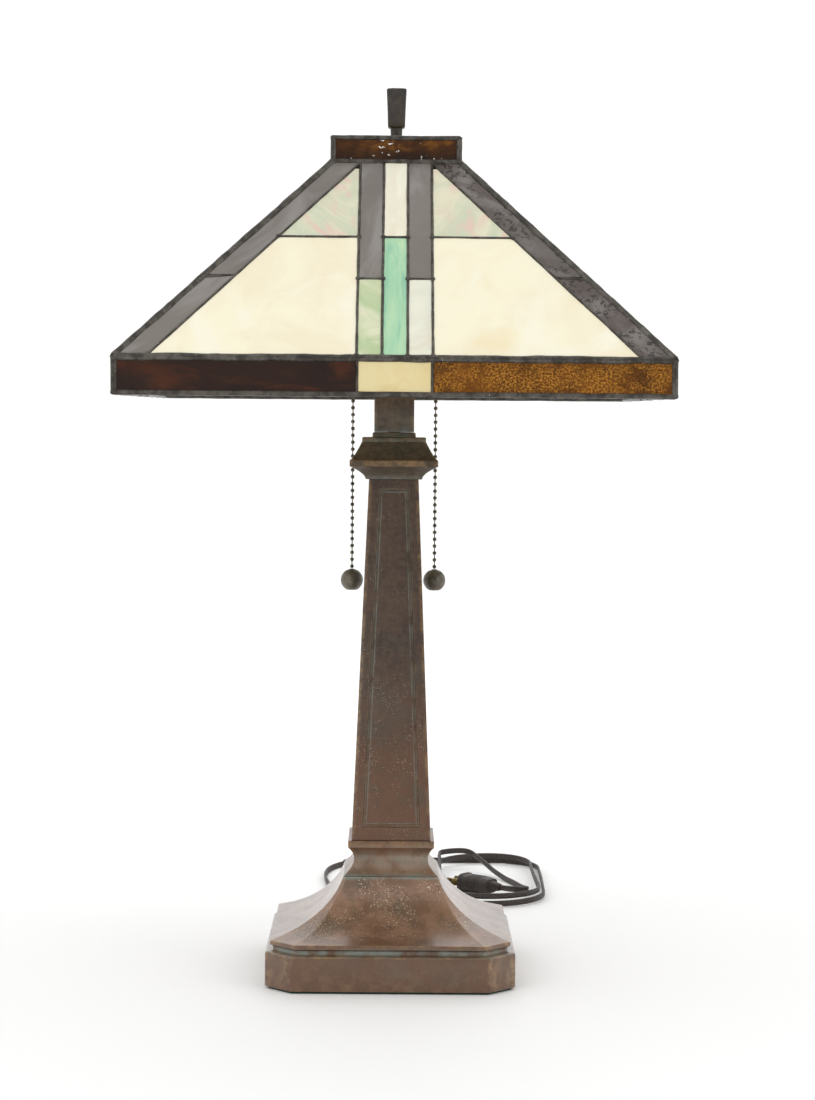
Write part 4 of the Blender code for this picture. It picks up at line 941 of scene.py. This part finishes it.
def square_casting(name, rows, radius, material, node, reach=0.0009, sharp=35):
    """A square casting: rounded squares of (half width, height, edge, groove) up a profile."""
    rows = eased(rows, reach)
    radii = np.minimum(radius, rows[:, 0] * 0.5)
    points = raised(square_ring(rows[:, 0], radii), rows[:, 1])
    rub = np.clip(rows[:, 2:3] + 0.55 * square_corners(), 0, 1)
    surface = part(points, wrap=True, ends=True, edge=rub,
                   groove=np.broadcast_to(np.clip(rows[:, 3:4], 0, 1), rub.shape))
    return build(name, [surface], [material], "stand", [node], sharp, ("edge", "groove"))


PANEL_SIDE, PANEL_FOOT, PANEL_TOP = 0.0080, 0.0100, 0.0070      # margins round a sunk panel
COLUMN_TOP_HALF = 0.01965       # half width at the top of the taper
# a panel's moulding: millimetres in from its edge, and how deep it is there out of 1
MOULDING_IN = (-0.25, 0.0, 0.5, 1.0, 1.6, 2.2, 2.6, 3.0, 3.6)
MOULDING_DEEP = (0.0, 0.08, 0.52, 0.70, 0.50, 0.50, 0.80, 0.90, 0.86)


class LAMP_OT_column(bpy.types.Operator):
    """Make the scotia collar and the tapered column with a sunk panel in each side"""
    bl_idname = "lamp.column"
    bl_label = "Collar and column"

    def execute(self, context):
        self.collar(finishes())
        self.shaft(context.scene.lamp_bronze, finishes())
        return {"FINISHED"}

    def collar(self, looks):
        """The scotia between the foot's flare and the column, with a square lip on top."""
        foot_z, top_z, wide = span("column_collar")
        waist, lip, ledge = 0.0293, 0.0340, 0.0054      # half widths, and the lip's height
        rise = top_z - foot_z - ledge
        t = np.linspace(0, 1, 17)
        half = (waist + (wide - waist) * np.clip(1 - t / 0.58, 0, 1) ** 2
                + (lip - waist) * np.clip((t - 0.58) / 0.42, 0, 1) ** 2)
        groove = 0.9 * bell(t, 0.0, 0.10) + 0.6 * bell(t, 0.55, 0.30)
        scotia = [(h, foot_z + rise * u, 0.0, g) for h, u, g in zip(half, t, groove)]
        scotia = [(0.024, foot_z, 0, 0)] + scotia + [
            (lip, top_z - ledge + 0.0004, 0.5, 0.2), (lip, top_z, 0.6, 0.0),
            (0.0270, top_z, 0.0, 0.4), (0.010, top_z, 0.0, 0.0)]
        square_casting("collar", scotia, 0.0012, looks["column"], "column_collar",
                       0.0007)

    def shaft(self, s, looks):
        """The tapered column: a quarter of each level's outline, turned round four times."""
        low_z, high_z, low_half = span("column")
        near = np.array([-0.7, -0.25, 0.0, 0.25, 0.5, 0.75, 1.0, 1.3, 1.6, 1.9, 2.2, 2.6, 3.0,
                         3.6]) * 1e-3
        height = high_z - low_z
        panel_top = height - PANEL_TOP
        z = np.concatenate([[0.0, 0.0015, 0.005], PANEL_FOOT + near,
                            np.linspace(PANEL_FOOT + 0.008, panel_top - 0.008, 26),
                            (panel_top - near)[::-1], [height - 0.0015, height]])
        half = low_half + (COLUMN_TOP_HALF - low_half) * z / height
        turn = np.linspace(0, pi / 2, 4)
        radius = s.arris
        # distances in from the arris of one side's columns, out to the middle and back
        inward = np.concatenate([[0.0035, 0.0062], PANEL_SIDE + near])
        first = half[:, None] - inward[None]
        middle = first[:, -1:] * np.array([0.5, 0.0, -0.5])
        across = np.concatenate([first, middle, -first[:, ::-1]], axis=1)
        arc_x = half[:, None] - radius + radius * np.cos(turn)
        arc_y = half[:, None] - radius + radius * np.sin(turn)
        d = np.minimum(half[:, None] - np.abs(across) - PANEL_SIDE,
                       np.minimum(z - PANEL_FOOT, panel_top - z)[:, None]) * 1e3
        depth = np.interp(d, MOULDING_IN, MOULDING_DEEP) * s.panel
        quarter = np.stack([np.concatenate([arc_x, across], 1),
                            np.concatenate([arc_y, half[:, None] - depth], 1)], -1)
        points = raised(quarter_turns(quarter), low_z + z)
        arris = np.ones((len(z), len(turn)))
        rub = np.concatenate([0.85 * arris, 0.5 * bell(d, -0.1, 0.35)
                              + 0.45 * bell(d, 1.9, 0.35)], 1)
        green = np.concatenate([0 * arris, bell(d, 1.05, 0.30) + 0.8 * bell(d, 2.8, 0.35)], 1)
        shaft = part(points, wrap=True, ends=True, edge=np.tile(np.clip(rub, 0, 1), 4),
                     groove=np.tile(np.clip(green, 0, 1), 4))
        build("column_shaft", [shaft], [looks["column"]], "stand", ["column"], 28,
              ("edge", "groove"))


class LAMP_OT_capital(bpy.types.Operator):
    """Make the capital, its stepped cap and the square tube above it"""
    bl_idname = "lamp.capital"
    bl_label = "Capital and neck"

    def execute(self, context):
        looks = finishes()
        z, top_z, lip = span("capital")
        throat, shoulder, cap, step = 0.0223, 0.0262, 0.0252, 0.0172    # half widths, upwards
        t = np.linspace(0, 1, 13)
        cove = [(throat + (lip - throat) * u ** 1.8, z + 0.0103 * u, 0.0, 0.3 * (1 - u))
                for u in t]
        slope = [(lip - 0.0009 - (lip - shoulder) * u ** 0.8, z + 0.0156 + 0.0139 * u, 0.0, 0.0)
                 for u in t]
        rows = [(0.012, z, 0, 0)] + cove + [
            (lip, z + 0.0106, 0.8, 0.0), (lip, z + 0.0150, 0.9, 0.0)] + slope + [
            (cap, z + 0.0296, 0.0, 0.6), (cap, z + 0.0330, 0.5, 0.0),
            (step, z + 0.0331, 0.0, 0.9), (step - 0.0002, z + 0.0368, 0.4, 0.0),
            (0.0140, top_z, 0.0, 0.5), (0.004, top_z, 0.0, 0.0)]
        square_casting("capital_casting", rows, 0.0014, looks["capital"], "capital",
                       0.0007)
        (foot_z, top_z, half), wall = span("neck_tube"), 0.0016
        tube = [(half - wall, foot_z, 0, 0), (half, foot_z, 0.0, 0.6),
                (half, foot_z + 0.0020, 0.2, 0.4), (half, (foot_z + top_z) / 2, 0.15, 0.0),
                (half, top_z, 0.3, 0.0), (half - wall, top_z, 0.0, 0.0),
                (half - wall, top_z - 0.004, 0.0, 0.0), (0.0056, top_z - 0.0042, 0.0, 0.0)]
        square_casting("neck", tube, 0.0013, looks["column"], "neck_tube", 0.0004)
        for node, look in (("lamp_pipe", "steel"), ("inner_lead", "vinyl"),
                           ("shade_riser", "brass")):
            paint(node, looks[look])
        return {"FINISHED"}


# ---- lights and chains ------------------------------------------------------------------------
SOCKET_TILT = radians(15)
SOCKET_SEAT = 0.020             # distance of a socket's seat from the middle
CHAIN_X, CHAIN_Y = 0.0335, 0.0385
BEAD_PITCH, BEAD_RADIUS, WIRE_RADIUS, BALL_RADIUS = 0.0054, 0.00165, 0.00045, 0.0091
# profiles as (radius, height): each socket from its seat, its union nut and its chain guide
SOCKET_PROFILE = (
    (0.0060, 0.0), (0.0065, 0.0002), (0.0065, 0.0088), (0.0130, 0.0090), (0.0162, 0.0118),
    (0.0170, 0.0150), (0.0170, 0.0260), (0.0176, 0.0266), (0.0176, 0.0284), (0.0170, 0.0290),
    (0.0168, 0.0400), (0.0174, 0.0404), (0.0174, 0.0418), (0.0168, 0.0424), (0.0168, 0.0440),
    (0.0174, 0.0444), (0.0174, 0.0458), (0.0168, 0.0464), (0.0170, 0.0562), (0.0170, 0.0570),
    (0.0146, 0.0570), (0.0144, 0.0560), (0.0144, 0.0300), (0.0040, 0.0298))
NUT_PROFILE = ((0.0064, -0.0100), (0.0064, -0.0035), (0.0078, -0.0032), (0.0078, -0.0006),
               (0.0066, -0.0004))
GUIDE_PROFILE = ((0.0010, 0.0108), (0.0027, 0.0106), (0.0027, 0.0010), (0.0027, 0.0),
                 (0.0042, 0.0), (0.0044, 0.0012), (0.0038, 0.0020), (0.0040, 0.0100),
                 (0.0030, 0.0128), (0.0010, 0.0130))
GUIDE_DROP = 0.0065             # from the socket's axis down to the guide's mouth
ARM_PROFILE = ((0.0028, 0.0152), (0.0036, 0.0156), (0.0036, 0.0178), (0.0028, 0.0184),
               (0.0028, CHAIN_Y - 0.0030))
BULB_NECK = ((0.0124, 0.031), (0.0132, 0.032), (0.0132, 0.0592), (0.0136, 0.0640),
             (0.0142, 0.0690))
GLOBE_AT, GLOBE_RADIUS = 0.096, 0.024


class LAMP_OT_lights(bpy.types.Operator):
    """Make the lamp cluster, both sockets and both bulbs"""
    bl_idname = "lamp.lights"
    bl_label = "Sockets and bulbs"

    def execute(self, context):
        looks = finishes()
        foot_z, top_z = span("cluster_body")[:2]
        radius = high("cluster_body")[1]
        middle, half = (foot_z + top_z) / 2, (top_z - foot_z) / 2
        inner = radius - 0.0006
        rows = [(0.0056, -half), (radius - 0.003, -half), (inner, -half + 0.0022),
                (inner, -0.0024), (radius, -0.0018), (radius, 0.0018), (inner, 0.0024),
                (inner, half - 0.0022), (radius - 0.003, half), (0.0056, half)]
        parts = [turned(rows, 36, 0.0005, (0, 0, middle))]
        mouth_z = middle + (CHAIN_X - SOCKET_SEAT) * tan(SOCKET_TILT)
        turn = np.linspace(radians(-50), radians(89), 22)
        globe = np.vstack([BULB_NECK, np.stack([GLOBE_RADIUS * np.cos(turn),
                                                GLOBE_AT + GLOBE_RADIUS * np.sin(turn)], -1)])
        for side, name in ((-1, "left"), (1, "right")):
            lie = (Matrix.Translation((side * SOCKET_SEAT, 0, middle))
                   @ Matrix.Rotation(side * (pi / 2 - SOCKET_TILT), 4, "Y"))
            arm = Matrix.Translation((side * CHAIN_X, 0, mouth_z)) @ Matrix.Rotation(
                -pi / 2, 4, "X")
            parts.append(carried(turned(NUT_PROFILE, 6, 0.0004), lie))
            socket = [carried(turned(SOCKET_PROFILE, 40, 0.0004), lie),
                      turned(GUIDE_PROFILE, 20, 0.0003,
                             (side * CHAIN_X, CHAIN_Y, mouth_z - GUIDE_DROP)),
                      carried(turned(ARM_PROFILE, 16, 0.0003), arm)]
            build(f"socket_shell_{name}", socket, [looks["brass"]], "stand", [f"socket_{name}"],
                  40)
            build(f"bulb_glass_{name}", [carried(turned(globe, 40, 0.0012), lie)],
                  [looks["bulb"]], f"{name}_bulb", [f"bulb_{name}"], 60)
        build("cluster", parts, [looks["brass"]], "stand", ["cluster_body"], 40)
        return {"FINISHED"}


class LAMP_OT_pulls(bpy.types.Operator):
    """Make both pull chains, bead by bead, with their balls"""
    bl_idname = "lamp.pulls"
    bl_label = "Pull chains"

    def execute(self, context):
        looks = finishes()
        turn = np.arange(10) * 2 * pi / 10
        rise = radians(90) * np.array([-0.94, -0.66, -0.33, 0.0, 0.33, 0.66, 0.94])
        globe = np.stack(np.broadcast_arrays(np.cos(rise)[:, None] * np.cos(turn),
                                             np.cos(rise)[:, None] * np.sin(turn),
                                             np.sin(rise)[:, None]), -1) * BEAD_RADIUS
        for name in ("left", "right"):
            foot, top = low(f"pull_chain_{name}"), high(f"pull_chain_{name}")
            x, y = (foot[0] + top[0]) / 2, CHAIN_Y
            first, last = top[2] - BEAD_RADIUS, foot[2] + BEAD_RADIUS
            heights = np.linspace(first, last, int((first - last) / BEAD_PITCH) + 1)
            beads = [part(globe + np.array([x, y, h]), wrap=True, ends=True) for h in heights]
            wire = turned([(WIRE_RADIUS, last), (WIRE_RADIUS, (first + last) / 2),
                           (WIRE_RADIUS, first)], 6, 0.0002, (x, y, 0))
            build(f"chain_{name}", beads + [wire], [looks["chain"]], f"{name}_chain",
                  [f"pull_chain_{name}"], 60)
            crest = high(f"pull_ball_{name}")[2]
            middle, radius = crest - BALL_RADIUS, BALL_RADIUS
            arc = np.linspace(radians(66), radians(-60), 20)
            rows = np.vstack([[(0.0008, crest), (0.0022, crest - 0.0001),
                               (0.0026, crest - 0.0008)],
                              np.stack([radius * np.cos(arc), middle + radius * np.sin(arc)], -1),
                              [(radius * 0.46, middle - radius * 0.885),
                               (0.0006, middle - radius * 0.89)]])[::-1]
            ball = turned(rows, 36, 0.0004, (x, y, 0))
            build(f"ball_{name}", [ball], [looks["ball"]], f"{name}_chain",
                  [f"pull_ball_{name}"], 45, ("edge", "groove"))
            paint(f"pull_link_{name}", looks["chain"])
        return {"FINISHED"}


# ---- shade ----------------------------------------------------------------------------------
def half_at(q):
    """Half the width of the roof at a fraction q down its slope, from the crown to the eave."""
    return CROWN_HALF + (RIM_HALF - CROWN_HALF) * q


def turned_side(points, side):
    """Points of the front face turned to another side of the shade."""
    c, s = ((1, 0), (0, 1), (-1, 0), (0, -1))[side]
    points = np.asarray(points, float)
    return np.stack([points[..., 0] * c - points[..., 1] * s,
                     points[..., 0] * s + points[..., 1] * c, points[..., 2]], -1)


ROOF_OUT = np.array([0.0, -(CROWN_Z - EAVE_Z), RIM_HALF - CROWN_HALF]) / ROOF_LENGTH
WALL_OUT = np.array([0.0, -1.0, 0.0])
HIP_COVER = 0.42                # share of a corner lead's width that its glass keeps clear of


def strip_in(g, q):
    """The inner line of the strip along each hip, at a fraction q down the roof."""
    return g.band + (RIM_HALF - g.strip - g.band) * q


def on_roof(s, q, depth=SHELL_MIDDLE):
    """A point of the front roof: s along it, q down it, depth below its outside."""
    return np.array([s, -half_at(q), CROWN_Z + (EAVE_Z - CROWN_Z) * q]) - ROOF_OUT * depth


def on_wall(s, z, half, depth=SHELL_MIDDLE):
    """A point of a front upright wall at a distance half from the middle."""
    return np.array([s, -half + depth, z])


def slab(corners, out, settings, side, material, seed, turn=0.0):
    """A pane: the patch between four corners, given a thickness, with a rippled outer face.

    Points blend linearly between the corners in both directions. The flow map is measured in
    metres along the pane, turned and shifted by an amount of the pane's own.
    """
    corners = np.asarray(corners, float)
    wide = max(np.linalg.norm(corners[1] - corners[0]), np.linalg.norm(corners[2] - corners[3]))
    tall = max(np.linalg.norm(corners[3] - corners[0]), np.linalg.norm(corners[2] - corners[1]))
    u = np.linspace(0, 1, max(3, int(wide / PANE_STEP)) + 1)[None, :, None]
    v = np.linspace(0, 1, max(3, int(tall / PANE_STEP)) + 1)[:, None, None]
    middle = ((corners[0] * (1 - u) + corners[1] * u) * (1 - v)
              + (corners[3] * (1 - u) + corners[2] * u) * v)
    lift = settings.thickness / 2
    ripple = waves(middle, 0.040, seed)[..., None] * settings.ripple
    front = middle + out * (lift + ripple)
    back = middle - out * lift
    rows, cols = middle.shape[:2]
    index = np.arange(rows * cols).reshape(rows, cols)
    face = np.stack([index[:-1, :-1], index[:-1, 1:], index[1:, 1:], index[1:, :-1]],
                    -1).reshape(-1, 4)
    loop = np.concatenate([index[0, :-1], index[:-1, -1], index[-1, :0:-1], index[:0:-1, 0]])
    after = np.roll(loop, -1)
    count = rows * cols
    rim = np.stack([loop + count, after + count, after, loop], -1)
    across = np.array([1.0, 0.0, 0.0])
    up = np.cross(out, across)
    flat = np.stack([middle @ across, middle @ up], -1)
    c, s = cos(turn), sin(turn)
    flow = np.stack([flat[..., 0] * c - flat[..., 1] * s,
                     flat[..., 0] * s + flat[..., 1] * c], -1)
    flow = flow.reshape(-1, 2) + np.random.default_rng(seed).uniform(-3, 3, 2)
    points = turned_side(np.concatenate([front.reshape(-1, 3), back.reshape(-1, 3)]), side)
    return {"points": points, "faces": [face, face[:, ::-1] + count, rim], "material": material,
            "uv": np.vstack([flow, flow]), "marks": {}}


# how far down the slope each cross line of the roof stands
FIELD_LINE = 0.400              # foot of the upper pieces and of the upper middle stripe
BAND_LINE = 0.614               # foot of the dark strips beside the middle stripe
STRIP_LINE = 0.600              # join of the two pieces of a hip strip
ROOF_TOP, ROOF_FOOT = 0.004, 0.994


class LAMP_OT_panes(bpy.types.Operator):
    """Make every pane of the roof, the skirt and the crown"""
    bl_idname = "lamp.panes"
    bl_label = "Glass panes"

    def execute(self, context):
        for name, side in SIDES.items():
            self.roof(context, name, side)
            self.skirt(context, name, side)
        return {"FINISHED"}

    def roof(self, context, name, side):
        """One sloping side: two fields of four pieces and the striped band of six."""
        g, looks = context.scene.lamp_glass, finishes()
        top, foot = ROOF_TOP, ROOF_FOOT
        gap = g.lead * 0.30                 # glass runs under the lead, short of its middle

        def pane(points, material, seed, turn=0.0):
            seed += 17 * side
            return slab([on_roof(*p) for p in points], ROOF_OUT, g, side, material, seed, turn)

        def box(inner, outer, q_high, q_low, sign, material, seed, turn=0.0):
            """A piece between two lines down the roof; inner and outer give s at q."""
            points = [(sign * inner(q_low), q_low), (sign * outer(q_low), q_low),
                      (sign * outer(q_high), q_high), (sign * inner(q_high), q_high)]
            if sign < 0:
                points = [points[1], points[0], points[3], points[2]]
            return pane(points, material, seed, turn)

        def upright(s):
            return lambda q: s

        def inner(q):
            return strip_in(g, q) - gap * 1.2

        def strip(q):
            return strip_in(g, q) + gap * 1.2

        def hip(q):
            return half_at(q) - g.hip * HIP_COVER

        cross = gap / ROOF_LENGTH
        band = upright(g.band + gap)
        for sign, hand in ((-1, "left"), (1, "right")):
            dark = 2 if sign < 0 else 3
            parts = [
                box(band, inner, 0.035, FIELD_LINE - cross, sign, 1, 11 + sign, 0.5 * sign),
                box(band, inner, FIELD_LINE + cross, foot, sign, 0, 21 + sign, 0.4 * sign),
                box(strip, hip, top, STRIP_LINE - cross, sign, dark, 31 + sign, -0.75 * sign),
                box(strip, hip, STRIP_LINE + cross, foot, sign, dark, 41 + sign, -0.75 * sign)]
            build(f"roof_glass_{name}_{hand}", parts,
                  [looks["cream"], looks["meadow"], looks["brown"], looks["rough_brown"]],
                  "shade", [f"roof_field_{name}_{hand}"])
        stripe, edge = upright(g.stripe + gap), upright(g.band - gap)
        middle = upright(gap - g.stripe), upright(g.stripe - gap)
        parts = []
        for sign, material in ((-1, 3), (1, 4)):
            parts += [box(stripe, edge, top, BAND_LINE - cross, sign, 2, 51 + sign, 0.1),
                      box(stripe, edge, BAND_LINE + cross, foot, sign, material, 61 + sign,
                          0.9 * sign)]
        parts += [box(*middle, top, FIELD_LINE - cross, 1, 0, 71),
                  box(*middle, FIELD_LINE + cross, foot, 1, 1, 81)]
        build(f"roof_stripes_{name}", parts,
              [looks["cream_band"], looks["teal"], looks["brown"], looks["green"],
               looks["white"]], "shade", [f"roof_band_{name}"])

    def skirt(self, context, name, side):
        """The three upright panes of the skirt and the one of the crown: flat, upright slabs."""
        g, looks = context.scene.lamp_glass, finishes()
        edge, end, gap = g.band - 0.0005, RIM_HALF - g.hip * HIP_COVER, g.lead * 0.35

        def upright(half, left, right, foot, top, seed):
            corners = [on_wall(s, z, half) for s, z in
                       ((left, foot), (right, foot), (right, top), (left, top))]
            return slab(corners, WALL_OUT, g, side, 0, seed + 17 * side)

        rows = (("left", -end, -edge - gap, "skirt_brown", "brown_glass"),
                ("centre", -edge + gap, edge - gap, "skirt_cream", "cream_glass"),
                ("right", edge + gap, end, "amber", "amber_glass"))
        for k, (place, left, right, look, slot) in enumerate(rows):
            pane = upright(RIM_HALF, left, right, RIM_Z + g.rim * 0.45, EAVE_Z - g.eave * 0.35,
                           91 + k)
            build(f"skirt_glass_{name}_{place}", [pane], [looks[look]], "shade",
                  [f"skirt_pane_{name}_{place}"])
        end = CROWN_HALF - g.hip * HIP_COVER
        pane = upright(CROWN_HALF, -end, end, CROWN_Z + 0.0010, CROWN_TOP_Z - 0.0015, 99)
        build(f"crown_glass_{name}", [pane], [looks["crown"]], "shade", [f"crown_pane_{name}"])


class LAMP_OT_lead(bpy.types.Operator):
    """Make the soldered lead lines of the whole shade"""
    bl_idname = "lamp.lead"
    bl_label = "Lead lines"

    def execute(self, context):
        g, looks = context.scene.lamp_glass, finishes()
        thick = g.thickness + 0.0021
        inset = SHELL_MIDDLE * 0.8
        hip, rim, crown = np.array([1.0, -1.0, 0.0]), RIM_HALF - inset, CROWN_HALF - inset
        slope, tilt = np.array([0.5, -0.5, 0.7]), np.array([0.0, -0.90, 0.42])
        parts = []

        def line(a, b, out, wide, deep=thick, seed=1, rough=0.10):
            a, b = turned_side([a, b], side)
            parts.append(bead(a, b, turned_side(out, side), wide, deep, seed + 13 * side,
                              rough))

        def on_slope(s_high, q_high, s_low, q_low, seed, share=1.0):
            line(on_roof(s_high, q_high), on_roof(s_low, q_low), ROOF_OUT, g.lead * share,
                 seed=seed)

        def corner(half, z):
            return np.array([half, -half, z])

        def level(half, z, out, wide, deep, seed, rough):
            line(np.array([-half, -half, z]), corner(half, z), out, wide, deep, seed, rough)

        for side in range(4):
            for k, s in enumerate((-g.band, -g.stripe, g.stripe, g.band)):
                on_slope(s, 0.0, s, 1.0, k)
            for k, sign in enumerate((-1, 1)):
                field, join = strip_in(g, FIELD_LINE), strip_in(g, STRIP_LINE)
                on_slope(sign * g.band, 0.0, sign * strip_in(g, 1.0), 1.0, 10 + k)
                on_slope(sign * g.band, FIELD_LINE, sign * field, FIELD_LINE, 20 + k)
                on_slope(sign * g.stripe, BAND_LINE, sign * g.band, BAND_LINE, 30 + k, 0.9)
                on_slope(sign * join, STRIP_LINE, sign * half_at(STRIP_LINE),
                         STRIP_LINE + 0.012, 40 + k, 0.75)
                edge = sign * (g.band - 0.0005)
                line(on_wall(edge, RIM_Z, RIM_HALF), on_wall(edge, EAVE_Z, RIM_HALF), WALL_OUT,
                     g.lead, seed=50 + k)
                for s, q in ((g.stripe, FIELD_LINE), (g.band, FIELD_LINE), (g.band, BAND_LINE),
                             (g.stripe, BAND_LINE), (field, FIELD_LINE), (g.stripe, 0.99),
                             (g.band, 0.99), (strip_in(g, 0.99), 0.99)):
                    spot = turned_side(on_roof(sign * s, q, 0.0005), side)
                    parts.append(lump(spot, turned_side(ROOF_OUT, side), g.lead * 1.5, 0.0022,
                                      int(97 * s * 100 + 31 * q * 10) + side))
            on_slope(-g.stripe, FIELD_LINE, g.stripe, FIELD_LINE, 60)
            eave_corner, crown_corner = corner(rim, EAVE_Z - 0.0008), corner(crown, CROWN_Z)
            line(crown_corner, eave_corner, slope, g.hip, thick + 0.0008, 70, 0.13)
            line(corner(rim, RIM_Z + 0.0006), eave_corner, hip, g.hip * 0.95, thick, 71, 0.08)
            line(crown_corner, corner(crown, CROWN_TOP_Z - 0.001), hip, g.hip * 0.9, thick, 72,
                 0.10)
            level(rim, EAVE_Z - 0.0012, tilt, g.eave, thick + 0.0006, 73, 0.14)
            level(rim, RIM_Z + g.rim * 0.42, WALL_OUT, g.rim * 0.9, thick + 0.0004, 74, 0.05)
            level(crown, CROWN_Z, tilt, g.eave * 0.85, thick, 75, 0.14)
            level(crown, CROWN_TOP_Z - 0.0016, WALL_OUT, 0.0040, thick, 76, 0.10)
        build("lead_lines", parts, [looks["lead"]], "shade", ["lead_came"], 50)
        return {"FINISHED"}


class LAMP_OT_top(bpy.types.Operator):
    """Make the domed washer and the finial, and finish the cap plate"""
    bl_idname = "lamp.top"
    bl_label = "Washer and finial"

    def execute(self, context):
        looks = finishes()
        foot, top, radius = span("cap_washer")
        bore, rise = 0.0037, top - foot
        dome = [(radius - (radius - bore) * a, foot + 0.0007 + (rise - 0.0008) * sin(a * pi / 2))
                for a in np.linspace(0, 1, 12)]
        rows = [(bore, foot), (radius, foot)] + dome + [(bore - 0.0001, top - 0.0006)]
        build("washer", [turned(rows, 40, 0.0003)], [looks["finial"]], "shade", ["cap_washer"],
              45, ("edge", "groove"))
        paint("shade_cap", looks["brass"])

        foot, top, wide = span("finial")
        neck, block, crest = 0.0048, foot + 0.0085, top - 0.0022
        profile = [(neck - 0.0006, foot), (neck, foot + 0.0004), (neck * 0.94, foot + 0.0030),
                   (neck, block - 0.0010), (neck + 0.0002, block + 0.0010)]
        parts = [turned(profile, 32, 0.0003)]
        rows = eased([(0.0040, block), (0.0060, block + 0.0001), (0.0068, block + 0.0012),
                      (0.0072, (block + crest) / 2), (wide, crest), (wide * 0.93, top - 0.0011),
                      (wide * 0.5, top - 0.0003), (0.001, top)], 0.0007)
        points = raised(square_ring(rows[:, 0], np.minimum(0.0011, rows[:, 0] * 0.5), 4),
                        rows[:, 1])
        parts.append(part(points, wrap=True, ends=True,
                          edge=np.full(points.shape[:2], 0.3)))
        build("finial_knob", parts, [looks["finial"]], "finial", ["finial"], 35,
              ("edge", "groove"))
        return {"FINISHED"}


# ---- panel and start ------------------------------------------------------------------------
OPERATORS = (LAMP_OT_stage, LAMP_OT_cord, LAMP_OT_base, LAMP_OT_column, LAMP_OT_capital,
             LAMP_OT_lights, LAMP_OT_pulls, LAMP_OT_panes, LAMP_OT_lead, LAMP_OT_top)
SETTINGS = (("lamp_glass", LampGlassSettings), ("lamp_bronze", LampBronzeSettings),
            ("lamp_cord", LampCordSettings), ("lamp_stage", LampStageSettings))


class LAMP_PT_panel(bpy.types.Panel):
    """Lamp pieces in the order in which they are made"""
    bl_label = "Stained Glass Lamp"
    bl_idname = "LAMP_PT_panel"
    bl_space_type = "VIEW_3D"
    bl_region_type = "UI"
    bl_category = "Lamp"

    def draw(self, context):
        for name, group in SETTINGS:
            box = self.layout.box()
            box.label(text=group.__doc__)
            for key in group.__annotations__:
                box.prop(getattr(context.scene, name), key)
        for operator in OPERATORS:
            self.layout.operator(operator.bl_idname)


def register():
    for name, group in SETTINGS:
        bpy.utils.register_class(group)
        setattr(bpy.types.Scene, name, bpy.props.PointerProperty(type=group))
    for kind in (*OPERATORS, LAMP_PT_panel):
        bpy.utils.register_class(kind)


def unregister():
    for kind in reversed((*OPERATORS, LAMP_PT_panel)):
        bpy.utils.unregister_class(kind)
    for name, group in reversed(SETTINGS):
        delattr(bpy.types.Scene, name)
        bpy.utils.unregister_class(group)


def main():
    register()
    for operator in OPERATORS:
        area, name = operator.bl_idname.split(".")
        getattr(getattr(bpy.ops, area), name)()


if __name__ == "__main__":
    main()
